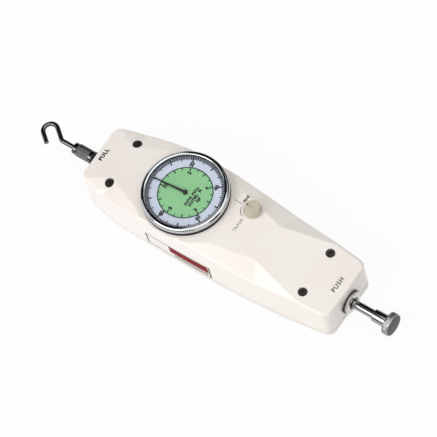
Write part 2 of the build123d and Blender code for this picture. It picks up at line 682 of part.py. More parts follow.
def push_head():
    bore_r = SHAFT_R + CLAMP_GAP
    bore_x = SHAFT_PUSH_X + SEAT_GAP
    return turned([
        (PUSH_BARREL_X, bore_r),
        (PUSH_BARREL_X, PUSH_BARREL_R - EDGE_BREAK),
        (PUSH_BARREL_X + EDGE_BREAK, PUSH_BARREL_R),
        (PUSH_DISC_X, PUSH_BARREL_R),
        (PUSH_DISC_X, PUSH_DISC_R - EDGE_BREAK),
        (PUSH_DISC_X + EDGE_BREAK, PUSH_DISC_R),
        (PUSH_FACE_X - EDGE_BREAK, PUSH_DISC_R),
        (PUSH_FACE_X, PUSH_DISC_R - EDGE_BREAK),
        (PUSH_FACE_X, 0),
        (bore_x, 0),
        (bore_x, bore_r),
    ])


def lock_nut():
    hexagon = RegularPolygon(NUT_FLATS / 2, 6, major_radius=False)
    nut = SHAFT_AXIS * Pos(0, 0, NUT_X - NUT_THICKNESS) * extrude(hexagon, NUT_THICKNESS)
    return nut - bar(NUT_X - NUT_THICKNESS, NUT_X, SHAFT_R + CLAMP_GAP)


def hook_sleeve():
    nose_x = SLEEVE_END_X + SLEEVE_NOSE_LENGTH
    thread_x = SHAFT_PULL_X - SEAT_GAP
    bore_r = SHAFT_R + CLAMP_GAP
    wire_r = HOOK_WIRE_R + CLAMP_GAP
    return turned([
        (SLEEVE_END_X, wire_r),
        (SLEEVE_END_X, SLEEVE_NOSE_R - EDGE_BREAK),
        (SLEEVE_END_X + EDGE_BREAK, SLEEVE_NOSE_R),
        (nose_x - SLEEVE_GROOVE, SLEEVE_NOSE_R),
        (nose_x - SLEEVE_GROOVE, SLEEVE_NOSE_R - SLEEVE_GROOVE),
        (nose_x, SLEEVE_NOSE_R - SLEEVE_GROOVE),
        (nose_x, SLEEVE_R - EDGE_BREAK / 2),
        (nose_x + EDGE_BREAK / 2, SLEEVE_R),
        (SLEEVE_X, SLEEVE_R),
        (SLEEVE_X, bore_r),
        (thread_x, bore_r),
        (thread_x, wire_r),
    ])


def hook():
    """Bent wire: stem on the shaft's axis, neck, half-round bowl and tip."""
    angle = math.radians(HOOK_NECK_DEG)
    along = Vector(-math.cos(angle), math.sin(angle), 0)
    across = Vector(-math.sin(angle), -math.cos(angle), 0)
    root = Vector(SLEEVE_END_X + HOOK_ROOT_DEPTH, 0, SHAFT_Z)
    bend = Vector(SLEEVE_END_X - HOOK_STEM, 0, SHAFT_Z)
    neck_end = bend + along * HOOK_NECK
    crown = neck_end + across * HOOK_BOWL_R + along * HOOK_BOWL_R
    tip_start = neck_end + across * (2 * HOOK_BOWL_R)
    tip_end = tip_start - along * HOOK_TIP
    shank = FilletPolyline(root, bend, neck_end, radius=HOOK_BEND_R)
    bowl = ThreePointArc(neck_end, crown, tip_start)
    tip = Line(tip_start, tip_end)
    path = Wire(shank.edges() + bowl.edges() + tip.edges())
    section = Plane(origin=root, z_dir=(-1, 0, 0)) * Circle(HOOK_WIRE_R)
    return sweep(section, path=path)


def collar(x, length, r):
    """A clamping ring on the shaft with a radial set-screw hole."""
    ring = bar(x, x + length, r) - bar(x, x + length, SHAFT_R + CLAMP_GAP)
    return ring - disc(x + length / 2, 0, SHAFT_Z, SHAFT_Z + 2 * r, SET_SCREW_R + FASTENER_GAP)


def spring_collar():
    return collar(SPRING_COLLAR_X, SPRING_COLLAR_LENGTH, SPRING_COLLAR_R)


def stop_collar():
    return collar(STOP_COLLAR_X, STOP_COLLAR_LENGTH, STOP_COLLAR_R)


def collar_set_screws():
    screws = []
    for x, length, r in (
        (SPRING_COLLAR_X, SPRING_COLLAR_LENGTH, SPRING_COLLAR_R),
        (STOP_COLLAR_X, STOP_COLLAR_LENGTH, STOP_COLLAR_R),
    ):
        bottom = SHAFT_Z + SHAFT_R + SEAT_GAP
        top = SHAFT_Z + r - EDGE_BREAK
        screws.append(disc(x + length / 2, 0, bottom, top, SET_SCREW_R))
    return screws


def spring_seat():
    ring = bar(WEB_PUSH_X, SPRING_SEAT_X, SEAT_R)
    return ring - bar(WEB_PUSH_X, SPRING_SEAT_X, SHAFT_R + WEB_SLOT_GAP)


def load_spring():
    """Square-wire compression spring between the web and the collar on the shaft."""
    start = SPRING_SEAT_X + SPRING_END_GAP
    end = SPRING_COLLAR_X - SPRING_END_GAP
    height = end - start - SPRING_WIRE_THICKNESS
    helix = Helix(pitch=height / SPRING_TURNS, height=height, radius=SPRING_R)
    tangent = helix % 0
    section = Plane(origin=helix @ 0, x_dir=(1, 0, 0), z_dir=tangent)
    wire = sweep(section * Rectangle(SPRING_WIRE_WIDTH, SPRING_WIRE_THICKNESS), path=helix, is_frenet=True)
    return SHAFT_AXIS * Pos(0, 0, start + SPRING_WIRE_THICKNESS / 2) * wire


# ---- gear train -----------------------------------------------------------------------------
def gear(teeth, x, y, z, thickness, phase_deg):
    """Spur gear with straight-flanked teeth; phase_deg points at the middle of a tooth."""
    pitch_r = MODULE * teeth / 2
    tip_r = pitch_r + MODULE
    root_r = pitch_r - 1.25 * MODULE
    step = 360 / teeth
    half = step * TOOTH_FILL / 2
    points = []
    for index in range(teeth):
        centre = phase_deg + index * step
        for radius, share in ((root_r, -1.5), (tip_r, -0.55), (tip_r, 0.55), (root_r, 1.5)):
            angle = math.radians(centre + share * half)
            points.append((radius * math.cos(angle), radius * math.sin(angle)))
    return Pos(x, y, z) * extrude(make_face(Polyline(*points, close=True)), thickness)


def arbor_hole(solid, x, y, z, height):
    """A press-fit hole for an arbor."""
    return solid - disc(x, y, z, z + height, ARBOR_R + CLAMP_GAP)


def rack():
    pitch = math.pi * MODULE
    root_y = RACK_Y + 1.25 * MODULE
    tip_y = RACK_Y - MODULE
    half = pitch * TOOTH_FILL / 2
    first = math.ceil((RACK_PULL_X - TRANSFER_X) / pitch) * pitch + TRANSFER_X + pitch / 2
    points = [(RACK_PULL_X, root_y)]
    x = first
    while x + 1.5 * half < RACK_PUSH_X:
        points += [(x - 1.5 * half, root_y), (x - 0.55 * half, tip_y)]
        points += [(x + 0.55 * half, tip_y), (x + 1.5 * half, root_y)]
        x += pitch
    back_y = root_y + RACK_BAR_DEPTH
    points += [(RACK_PUSH_X, root_y), (RACK_PUSH_X, back_y), (RACK_PULL_X, back_y)]
    solid = Pos(0, 0, RACK_Z) * extrude(make_face(Polyline(*points, close=True)), RACK_HEIGHT)
    for x, y in rack_screw_points():
        solid = solid - disc(x, y, RACK_Z, RACK_TOP_Z, RACK_SCREW_R + FASTENER_GAP)
        head_z = RACK_TOP_Z - RACK_SCREW_HEAD_H
        solid = solid - disc(x, y, head_z, RACK_TOP_Z, RACK_SCREW_HEAD_R + FASTENER_GAP)
    return solid


def rack_screw_points():
    y = NECK_Y + NECK_THICKNESS / 2
    return [(RACK_MID_X - RACK_SCREW_PITCH / 2, y), (RACK_MID_X + RACK_SCREW_PITCH / 2, y)]


def rack_screws():
    screws = []
    for x, y in rack_screw_points():
        head_z = RACK_TOP_Z - RACK_SCREW_HEAD_H
        head = disc(x, y, head_z, RACK_TOP_Z, RACK_SCREW_HEAD_R)
        screws.append(head + disc(x, y, RACK_TOP_Z - RACK_SCREW_LENGTH, head_z, RACK_SCREW_R))
    return screws


def rack_bracket():
    """Saddle on the shaft whose neck reaches up through the rear plate to the rack."""
    left = RACK_MID_X - BRACKET_LENGTH / 2
    right = RACK_MID_X + BRACKET_LENGTH / 2
    top = REAR_PLATE_Z - BRACKET_TOP_GAP
    half = BRACKET_HALF_WIDTH
    saddle = block(left, right, -half, half, BRACKET_BOTTOM_Z, top)
    neck_left = RACK_MID_X - NECK_LENGTH / 2
    neck = block(neck_left, neck_left + NECK_LENGTH, NECK_Y, NECK_Y + NECK_THICKNESS, top, RACK_Z)
    solid = saddle + neck - bar(left, right, SHAFT_R + CLAMP_GAP)
    for x, y in rack_screw_points():
        bottom = RACK_TOP_Z - RACK_SCREW_LENGTH - SEAT_GAP
        solid = solid - disc(x, y, bottom, RACK_Z, RACK_SCREW_R + FASTENER_GAP)
    return solid


def movement_plate(z):
    """One of the two plates that the arbors turn in."""
    length = PLATE_PUSH_X - PLATE_PULL_X
    middle = (PLATE_PUSH_X + PLATE_PULL_X) / 2
    sheet = RectangleRounded(length, 2 * PLATE_HALF_WIDTH, PLATE_CORNER_R)
    plate = Pos(middle, 0, z) * extrude(sheet, PLATE_THICKNESS)
    for x, y in ((DIAL_X, 0), (TRANSFER_X, TRANSFER_Y)):
        plate = plate - disc(x, y, z, z + PLATE_THICKNESS, ARBOR_R + ARBOR_GAP)
    for x, y in PILLAR_POINTS:
        plate = plate - disc(x, y, z, z + PLATE_THICKNESS, MOVEMENT_SCREW_R + FASTENER_GAP)
    return plate


def movement_rear_plate():
    plate = movement_plate(REAR_PLATE_Z)
    neck_left = RACK_MID_X - NECK_LENGTH / 2 - STROKE - SLOT_END_GAP
    neck_right = RACK_MID_X + NECK_LENGTH / 2 + SLOT_END_GAP
    y0 = NECK_Y - NECK_GAP
    y1 = NECK_Y + NECK_THICKNESS + NECK_GAP
    return plate - block(neck_left, neck_right, y0, y1, REAR_PLATE_Z, REAR_PLATE_TOP_Z)


def movement_front_plate():
    plate = movement_plate(FRONT_PLATE_Z)
    return plate - disc(PAWL_X, PAWL_Y, FRONT_PLATE_Z, FRONT_PLATE_TOP_Z, PAWL_PIN_R + CLAMP_GAP)


def movement_pillars():
    pillars = []
    for x, y in PILLAR_POINTS:
        pillar = disc(x, y, REAR_PLATE_TOP_Z, FRONT_PLATE_Z, PILLAR_R)
        hole = disc(x, y, REAR_PLATE_TOP_Z, FRONT_PLATE_Z, MOVEMENT_SCREW_R + FASTENER_GAP)
        pillars.append(pillar - hole)
    return pillars


def movement_screws():
    """Long screws through both plates and a pillar into the housing's posts."""
    screws = []
    for x, y in PILLAR_POINTS:
        head = disc(x, y, REAR_PLATE_Z - MOVEMENT_SCREW_HEAD_H, REAR_PLATE_Z, MOVEMENT_SCREW_HEAD_R)
        shank_top = FRONT_PLATE_TOP_Z + MOVEMENT_SCREW_BITE
        screws.append(head + disc(x, y, REAR_PLATE_Z, shank_top, MOVEMENT_SCREW_R))
    return screws


def transfer_angle():
    """Direction from the transfer arbor to the centre arbor, in degrees."""
    return math.degrees(math.atan2(-TRANSFER_Y, DIAL_X - TRANSFER_X))


def rack_pinion():
    solid = gear(RACK_PINION_TEETH, TRANSFER_X, TRANSFER_Y, RACK_Z, RACK_HEIGHT, 90.0)
    return arbor_hole(solid, TRANSFER_X, TRANSFER_Y, RACK_Z, RACK_HEIGHT)


def transfer_gear():
    solid = gear(TRANSFER_TEETH, TRANSFER_X, TRANSFER_Y, TRANSFER_Z, TRANSFER_THICKNESS, transfer_angle())
    solid = arbor_hole(solid, TRANSFER_X, TRANSFER_Y, TRANSFER_Z, TRANSFER_THICKNESS)
    for index in range(WEB_HOLES):
        angle = 2 * math.pi * index / WEB_HOLES
        x = TRANSFER_X + WEB_HOLE_PITCH_R * math.cos(angle)
        y = TRANSFER_Y + WEB_HOLE_PITCH_R * math.sin(angle)
        solid = solid - disc(x, y, TRANSFER_Z, TRANSFER_Z + TRANSFER_THICKNESS, WEB_HOLE_R)
    return solid


def transfer_arbor():
    return disc(TRANSFER_X, TRANSFER_Y, REAR_PLATE_Z, FRONT_PLATE_TOP_Z, ARBOR_R)


def centre_pinion():
    gap_angle = transfer_angle() + 180 + 180 / CENTRE_TEETH
    solid = gear(CENTRE_TEETH, DIAL_X, 0, CENTRE_PINION_Z, CENTRE_PINION_HEIGHT, gap_angle)
    return arbor_hole(solid, DIAL_X, 0, CENTRE_PINION_Z, CENTRE_PINION_HEIGHT)


def centre_arbor():
    """Arbor of the pointer, with the hairspring's collet turned on it."""
    arbor = disc(DIAL_X, 0, REAR_PLATE_Z, HUB_TOP_Z - HUB_CAP, ARBOR_R)
    return arbor + disc(DIAL_X, 0, HAIRSPRING_Z - SEAT_GAP, HAIRSPRING_Z + HAIRSPRING_HEIGHT, COLLET_R)


def pointer_hub():
    """Bush on the arbor with a waist that the pointer's eye is staked into."""
    eye_top = POINTER_Z + POINTER_THICKNESS
    hub = disc(DIAL_X, 0, HUB_BOTTOM_Z, HUB_TOP_Z, HUB_R)
    hub = chamfer(hub.edges().group_by(Axis.Z)[-1], HUB_EDGE_BREAK)
    hub = hub - (disc(DIAL_X, 0, POINTER_Z, eye_top, HUB_R) - disc(DIAL_X, 0, POINTER_Z, eye_top, HUB_NECK_R))
    return hub - disc(DIAL_X, 0, HUB_BOTTOM_Z, HUB_TOP_Z - HUB_CAP, ARBOR_R + CLAMP_GAP)


def pointer():
    """Tapered blade that points at the dial's zero, a little off the pull end."""
    outline_points = [
        (-POINTER_LENGTH, -POINTER_TIP_HALF),
        (0, -POINTER_ROOT_HALF),
        (0, POINTER_ROOT_HALF),
        (-POINTER_LENGTH, POINTER_TIP_HALF),
    ]
    plan = make_face(Polyline(*outline_points, close=True)) + Circle(HUB_R)
    blade = Pos(DIAL_X, 0, POINTER_Z) * Rot(0, 0, POINTER_ZERO_DEG) * extrude(plan, POINTER_THICKNESS)
    return blade - disc(DIAL_X, 0, POINTER_Z, POINTER_Z + POINTER_THICKNESS, HUB_NECK_R + CLAMP_GAP)


def hairspring():
    """Flat spiral that takes up the play of the gears."""
    steps = HAIRSPRING_TURNS * 16
    inner, outer = [], []
    for index in range(steps + 1):
        angle = 2 * math.pi * HAIRSPRING_TURNS * index / steps
        radius = HAIRSPRING_INNER_R + (HAIRSPRING_OUTER_R - HAIRSPRING_INNER_R) * index / steps
        inner.append((radius * math.cos(angle), radius * math.sin(angle)))
        radius += HAIRSPRING_THICKNESS
        outer.append((radius * math.cos(angle), radius * math.sin(angle)))
    face = make_face(Polyline(*inner, *reversed(outer), close=True))
    return Pos(DIAL_X, 0, HAIRSPRING_Z) * extrude(face, HAIRSPRING_HEIGHT)


def hairspring_stud():
    x = DIAL_X + HAIRSPRING_OUTER_R + HAIRSPRING_THICKNESS + STUD_R + CAM_GAP
    return disc(x, 0, FRONT_PLATE_TOP_Z, FRONT_PLATE_TOP_Z + STUD_HEIGHT, STUD_R)


# ---- peak hold ------------------------------------------------------------------------------
def peak_knob():
    body = loft([
        Pos(KNOB_X, KNOB_Y, KNOB_BOTTOM_Z) * Circle(KNOB_BASE_R),
        Pos(KNOB_X, KNOB_Y, KNOB_TOP_Z) * Circle(KNOB_TOP_R),
    ])
    body = chamfer(body.edges().group_by(Axis.Z)[-1], EDGE_BREAK / 2)
    groove_z = KNOB_TOP_Z - KNOB_GROOVE_DEPTH
    half = KNOB_GROOVE / 2
    groove = block(KNOB_X - KNOB_BASE_R, KNOB_X, KNOB_Y - half, KNOB_Y + half, groove_z, KNOB_TOP_Z)
    blind = disc(KNOB_X, KNOB_Y, KNOB_BOTTOM_Z, KNOB_TOP_Z - 2 * KNOB_GROOVE, SPINDLE_R + CLAMP_GAP)
    return body - groove - blind


def knob_spindle():
    """Spindle of the knob with the eccentric cam that lifts the pawl."""
    top = KNOB_TOP_Z - 2 * KNOB_GROOVE - SEAT_GAP
    spindle = disc(KNOB_X, KNOB_Y, CAM_Z, top, SPINDLE_R)
    groove = disc(KNOB_X, KNOB_Y, CLIP_Z, CLIP_Z + CLIP_THICKNESS, SPINDLE_R + CLIP_R)
    groove = groove - disc(KNOB_X, KNOB_Y, CLIP_Z, CLIP_Z + CLIP_THICKNESS, SPINDLE_R - CLIP_GROOVE_DEPTH)
    angle = math.radians(CAM_REST_DEG)
    cam_x = KNOB_X + CAM_THROW * math.cos(angle)
    cam_y = KNOB_Y + CAM_THROW * math.sin(angle)
    return spindle - groove + disc(cam_x, cam_y, CAM_Z, CAM_Z + CAM_THICKNESS, CAM_R)


def knob_circlip():
    bore_r = SPINDLE_R - CLIP_GROOVE_DEPTH + CLAMP_GAP
    ring = disc(KNOB_X, KNOB_Y, CLIP_Z, CLIP_Z + CLIP_THICKNESS, CLIP_R)
    ring = ring - disc(KNOB_X, KNOB_Y, CLIP_Z, CLIP_Z + CLIP_THICKNESS, bore_r)
    mouth = block(KNOB_X, KNOB_X + 2 * CLIP_R, KNOB_Y - bore_r, KNOB_Y + bore_r, CLIP_Z, KNOB_BOTTOM_Z)
    return ring - mouth


def ratchet_wheel():
    points = []
    for index in range(RATCHET_TEETH):
        start = 2 * math.pi * index / RATCHET_TEETH
        inner = RATCHET_R - RATCHET_TOOTH
        points.append((inner * math.cos(start), inner * math.sin(start)))
        points.append((RATCHET_R * math.cos(start), RATCHET_R * math.sin(start)))
    wheel = Pos(DIAL_X, 0, RATCHET_Z) * extrude(make_face(Polyline(*points, close=True)), RATCHET_THICKNESS)
    return arbor_hole(wheel, DIAL_X, 0, RATCHET_Z, RATCHET_THICKNESS)


def peak_pawl():
    """Two-armed lever: its tip stands over the ratchet and its tail rests by the cam."""
    reach = RATCHET_R + PAWL_TIP_GAP
    tip_angle = math.radians(PAWL_TIP_DEG)
    tip_x = DIAL_X + reach * math.cos(tip_angle)
    tip_y = reach * math.sin(tip_angle)
    cam_low = CAM_R - CAM_THROW * math.sin(math.radians(CAM_REST_DEG))
    tail_top = KNOB_Y - cam_low - CAM_GAP
    tail_x = KNOB_X + PAWL_TAIL_OVERRUN
    arm = Polyline(
        (tip_x, tip_y),
        (tip_x + 2 * PAWL_ARM_HALF, tip_y + 2 * PAWL_TIP_HALF),
        (PAWL_X, PAWL_Y - PAWL_ARM_HALF),
        (PAWL_X, PAWL_Y + PAWL_ARM_HALF),
        (tip_x - PAWL_TIP_HALF, tip_y + 2 * PAWL_ARM_HALF),
        close=True,
    )
    tail = Polyline(
        (PAWL_X, PAWL_Y - 2 * PAWL_ARM_HALF),
        (tail_x, tail_top - PAWL_TAIL_DEPTH),
        (tail_x, tail_top),
        (KNOB_X - 2 * CAM_R, tail_top),
        (PAWL_X, PAWL_Y + PAWL_ARM_HALF),
        close=True,
    )
    plan = make_face(arm) + make_face(tail) + Pos(PAWL_X, PAWL_Y) * Circle(PAWL_HUB_R)
    lever = Pos(0, 0, PAWL_Z) * extrude(plan, PAWL_THICKNESS)
    return lever - disc(PAWL_X, PAWL_Y, PAWL_Z, PAWL_Z + PAWL_THICKNESS, PAWL_PIN_R + BORE_GAP)


def pawl_pivot():
    head_top = PAWL_Z - SEAT_GAP
    head = disc(PAWL_X, PAWL_Y, head_top - PAWL_PIN_HEAD_H, head_top, PAWL_PIN_HEAD_R)
    return head + disc(PAWL_X, PAWL_Y, head_top, FRONT_PLATE_TOP_Z, PAWL_PIN_R)


# ---- write every sub-part -------------------------------------------------------------------
SUB_PARTS = [
    front_housing,
    back_cover,
    housing_screws,
    bezel_ring,
    bezel_wire,
    dial_plate,
    dial_spacer,
    lens,
    push_end_bush,
    pull_end_bush,
    main_shaft,
    push_head,
    lock_nut,
    hook_sleeve,
    hook,
    spring_collar,
    stop_collar,
    collar_set_screws,
    spring_seat,
    load_spring,
    rack,
    rack_screws,
    rack_bracket,
    movement_rear_plate,
    movement_front_plate,
    movement_pillars,
    movement_screws,
    rack_pinion,
    transfer_gear,
    transfer_arbor,
    centre_pinion,
    centre_arbor,
    pointer_hub,
    pointer,
    hairspring,
    hairspring_stud,
    peak_knob,
    knob_spindle,
    knob_circlip,
    ratchet_wheel,
    peak_pawl,
    pawl_pivot,
]


def main():
    os.makedirs("parts", exist_ok=True)
    for make in SUB_PARTS:
        made = make()
        solids = made if isinstance(made, list) else made.solids()
        export_step(Compound(children=list(solids)), f"parts/{make.__name__}.step")


if __name__ == "__main__":
    main()
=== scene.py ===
"""Finishes, printing and fine detail of a push-pull force gauge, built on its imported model.

Sizes are millimetres in the row frame, and meshes are made in metres: X runs along the shaft
towards the push head, Z out of the dial, and Z = 0 is the flat back.
"""

import json
import logging
import math
from dataclasses import dataclass
from enum import Enum

import bmesh
import bpy
from mathutils import Matrix, Vector
from mathutils.bvhtree import BVHTree

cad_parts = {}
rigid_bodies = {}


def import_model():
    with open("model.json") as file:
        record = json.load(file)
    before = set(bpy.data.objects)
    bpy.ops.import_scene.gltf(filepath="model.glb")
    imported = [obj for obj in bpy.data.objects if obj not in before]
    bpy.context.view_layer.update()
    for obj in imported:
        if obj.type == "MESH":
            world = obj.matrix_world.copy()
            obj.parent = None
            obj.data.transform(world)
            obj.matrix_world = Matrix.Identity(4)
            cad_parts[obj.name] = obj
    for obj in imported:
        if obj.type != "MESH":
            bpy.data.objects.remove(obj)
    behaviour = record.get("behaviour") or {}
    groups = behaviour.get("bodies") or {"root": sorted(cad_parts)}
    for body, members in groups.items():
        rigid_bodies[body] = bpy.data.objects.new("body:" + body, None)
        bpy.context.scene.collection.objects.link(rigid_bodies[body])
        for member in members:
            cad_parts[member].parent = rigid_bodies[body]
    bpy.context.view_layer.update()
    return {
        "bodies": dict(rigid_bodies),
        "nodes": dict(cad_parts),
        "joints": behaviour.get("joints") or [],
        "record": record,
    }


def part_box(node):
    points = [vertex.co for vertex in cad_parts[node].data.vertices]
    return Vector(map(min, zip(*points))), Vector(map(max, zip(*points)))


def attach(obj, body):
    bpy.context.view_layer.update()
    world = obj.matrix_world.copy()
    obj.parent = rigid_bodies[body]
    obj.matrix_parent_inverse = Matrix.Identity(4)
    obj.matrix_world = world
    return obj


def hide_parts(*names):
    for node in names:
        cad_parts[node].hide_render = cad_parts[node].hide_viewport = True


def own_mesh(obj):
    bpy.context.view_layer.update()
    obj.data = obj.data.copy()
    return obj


LOG = logging.getLogger("force_gauge")
MM = 0.001
WELD = 0.0005  # points closer than this become one
CLEAR = 60.0  # distance outside the housing at which its printing is drawn
SMOOTH_ANGLE = math.radians(32.0)
QUARTER_TURN = math.radians(90.0)
WHITE = (1.0, 1.0, 1.0, 1.0)

Pair = tuple[float, float]
Point = tuple[float, float, float]
Mesh = bpy.types.Mesh
Socket = bpy.types.NodeSocket
Tree = bpy.types.NodeTree


class Body(Enum):
    """The rigid bodies that pieces ride on."""

    HOUSING = "housing"
    BEZEL = "bezel"
    SHAFT = "shaft"
    KNOB = "knob"


class Slot(Enum):
    """The record's material slots, passed along with each piece."""

    HOUSING = "housing_ivory"
    DIAL = "dial_face"
    SPACER = "dial_spacer"
    BEZEL = "bezel_chrome"
    TURNED = "turned_steel"
    NUT = "nut_black"
    KNOB = "knob_ivory"
    SPRING = "load_spring_steel"


class Lay(Enum):
    """Direction of a lathe's axis."""

    ALONG_X = (1.0, 0.0, 0.0)
    ALONG_Z = (0.0, 0.0, 1.0)


@dataclass(frozen=True)
class Axis:
    """A lathe's axis: a point on it and its direction."""

    centre: Point
    lay: Lay


SHAFT = Axis((0.0, 0.0, 15.0), Lay.ALONG_X)
DIAL = Axis((-26.0, 0.0, 0.0), Lay.ALONG_Z)
UPRIGHT = Axis((0.0, 0.0, 15.0), Lay.ALONG_Z)  # square to the heads of the housing's screws


# ---- nodes and colours ----------------------------------------------------------------------
def linear(hex_colour: str) -> tuple[float, float, float, float]:
    """Turn an sRGB hex colour into the linear values that a shader takes.

    Args:
        hex_colour: colour such as "#f2eae4".

    Returns:
        Linear red, green, blue and an alpha of 1.
    """
    parts = [int(hex_colour[i : i + 2], 16) / 255.0 for i in (1, 3, 5)]
    red, green, blue = [c / 12.92 if c <= 0.04045 else ((c + 0.055) / 1.055) ** 2.4 for c in parts]
    return red, green, blue, 1.0


def add_node(tree: Tree, kind: str, inputs: dict | None = None, **settings: str) -> bpy.types.Node:
    """Add a node, set its properties, and give its inputs a value or a link.

    Args:
        tree: node tree that gets the node.
        kind: the node's type name.
        inputs: input name or number to a value or an output socket.
        **settings: properties of the node.

    Returns:
        The new node.
    """
    node = tree.nodes.new(kind)
    for name, value in settings.items():
        setattr(node, name, value)
    for key, value in (inputs or {}).items():
        if isinstance(value, Socket):
            tree.links.new(value, node.inputs[key])
        else:
            node.inputs[key].default_value = value
    return node


def object_point(tree: Tree) -> Socket:
    """Output socket with the point on the object, in metres in the row frame."""
    return add_node(tree, "ShaderNodeTexCoord").outputs["Object"]


def mottled(tree: Tree, base: str, other: str, size_mm: float, detail: float = 3.0) -> Socket:
    """Colour that drifts between two tones in soft patches.

    Args:
        tree: tree that gets the nodes.
        base: main hex colour.
        other: hex colour of the patches.
        size_mm: width of a patch.
        detail: octaves of the noise.

    Returns:
        The colour's output socket.
    """
    place = {"Vector": object_point(tree), "Scale": 1.0 / (size_mm * MM), "Detail": detail}
    noise = add_node(tree, "ShaderNodeTexNoise", place)
    ramp = add_node(tree, "ShaderNodeValToRGB", {"Fac": noise.outputs["Fac"]})
    for stop, position, tone in zip(ramp.color_ramp.elements, (0.35, 0.70), (base, other)):
        stop.position = position
        stop.color = linear(tone)
    return ramp.outputs["Color"]


def relief(tree: Tree, size_mm: float, depth_mm: float, strength: float, detail: float = 2.0) -> Socket:
    """Normal of a surface with a fine random relief.

    Args:
        tree: tree that gets the nodes.
        size_mm: width of one hollow.
        depth_mm: depth of one hollow.
        strength: share of the relief that shows.
        detail: octaves of the noise.

    Returns:
        The normal's output socket.
    """
    place = {"Vector": object_point(tree), "Scale": 1.0 / (size_mm * MM), "Detail": detail}
    noise = add_node(tree, "ShaderNodeTexNoise", place)
    height = {"Height": noise.outputs["Fac"], "Distance": depth_mm * MM, "Strength": strength}
    return add_node(tree, "ShaderNodeBump", height).outputs["Normal"]


def about_axis(tree: Tree, axis: Axis) -> tuple[Socket, Socket]:
    """Where each point of the surface lies about a lathe's axis.

    Args:
        tree: tree that gets the nodes.
        axis: the axis.

    Returns:
        Output sockets with the distance from the axis and the distance along it, in metres.
    """
    way = Vector(axis.lay.value)
    start = {0: object_point(tree), 1: Vector(axis.centre) * MM}
    shift = add_node(tree, "ShaderNodeVectorMath", start, operation="SUBTRACT").outputs[0]
    mask = {0: shift, 1: Vector((1.0, 1.0, 1.0)) - way}
    across = add_node(tree, "ShaderNodeVectorMath", mask, operation="MULTIPLY").outputs[0]
    radius = add_node(tree, "ShaderNodeVectorMath", {0: across}, operation="LENGTH")
    along = add_node(tree, "ShaderNodeVectorMath", {0: shift, 1: way}, operation="DOT_PRODUCT")
    return radius.outputs["Value"], along.outputs["Value"]


def directly_seen(tree: Tree) -> Socket:
    """Output socket that is 1 for camera, glossy and transmission rays and 0 for the rest."""
    path = add_node(tree, "ShaderNodeLightPath").outputs
    bounced = {0: path["Is Camera Ray"], 1: path["Is Glossy Ray"]}
    outer = add_node(tree, "ShaderNodeMath", bounced, operation="MAXIMUM").outputs[0]
    through = {0: outer, 1: path["Is Transmission Ray"]}
    return add_node(tree, "ShaderNodeMath", through, operation="MAXIMUM").outputs[0]


# ---- kinds of finish ------------------------------------------------------------------------
@dataclass(frozen=True)
class Finish:
    """What every finish has: a name, a main colour, and one material that its pieces share."""

    name: str
    colour: str

    def material(self) -> bpy.types.Material:
        """The finish's material, made when it is first asked for."""
        if self.name not in bpy.data.materials:
            material = bpy.data.materials.new(self.name)
            material.use_nodes = True
            tree = material.node_tree
            tree.nodes.clear()
            out = tree.nodes.new("ShaderNodeOutputMaterial")
            tree.links.new(self.shader(tree), out.inputs["Surface"])
        return bpy.data.materials[self.name]

    def shader(self, tree: Tree) -> Socket:
        """Output socket of the finish's shader: one surface, unless a kind has its own way."""
        return add_node(tree, "ShaderNodeBsdfPrincipled", self.surface(tree)).outputs["BSDF"]

    def surface(self, tree: Tree) -> dict:
        """Input name to value or socket of the surface, which each kind has of its own."""
        raise NotImplementedError(self.name)


@dataclass(frozen=True)
class Enamel(Finish):
    """Stoved gloss enamel sprayed on a die casting.

    It gives an even soft gloss with a faint orange peel under a clear skin. The peel is drawn
    at 1.6 mm, a little coarser than the real one, so that it shows.
    """

    shade: str
    roughness: float = 0.30
    patch_mm: float = 45.0
    peel_mm: float = 1.6
    peel_depth_mm: float = 0.012

    def surface(self, tree: Tree) -> dict:
        """Tone drift, orange peel and a clear top coat."""
        return {
            "Base Color": mottled(tree, self.colour, self.shade, self.patch_mm, 2.0),
            "Roughness": self.roughness,
            "IOR": 1.5,
            "Coat Weight": 0.35,
            "Coat Roughness": 0.12,
            "Normal": relief(tree, self.peel_mm, self.peel_depth_mm, 0.6, 1.0),
        }


@dataclass(frozen=True)
class TurnedMetal(Finish):
    """Metal from the lathe, plated or ground afterwards.

    Fine rings round its axis draw its highlights out into lines. Real rings are near 0.1 mm
    apart, and they are drawn coarser so that they show.
    """

    roughness: float
    ring_mm: float = 0.28
    axis: Axis = SHAFT
    ring_depth_mm: float = 0.004

    def surface(self, tree: Tree) -> dict:
        """Turning rings in the bump and in the roughness."""
        radius, along = about_axis(tree, self.axis)
        both = add_node(tree, "ShaderNodeMath", {0: radius, 1: along}, operation="ADD").outputs[0]
        spread = {0: both, 1: 1.0 / (self.ring_mm * MM)}
        lane = add_node(tree, "ShaderNodeMath", spread, operation="MULTIPLY").outputs[0]
        line = {"W": lane, "Scale": 1.0, "Detail": 2.0}
        rings = add_node(tree, "ShaderNodeTexNoise", line, noise_dimensions="1D").outputs["Fac"]
        height = {"Height": rings, "Distance": self.ring_depth_mm * MM, "Strength": 0.5}
        spread = {"Value": rings, "To Min": self.roughness * 0.7, "To Max": self.roughness * 1.4}
        return {
            "Base Color": linear(self.colour),
            "Metallic": 1.0,
            "Roughness": add_node(tree, "ShaderNodeMapRange", spread).outputs["Result"],
            "Normal": add_node(tree, "ShaderNodeBump", height).outputs["Normal"],
        }


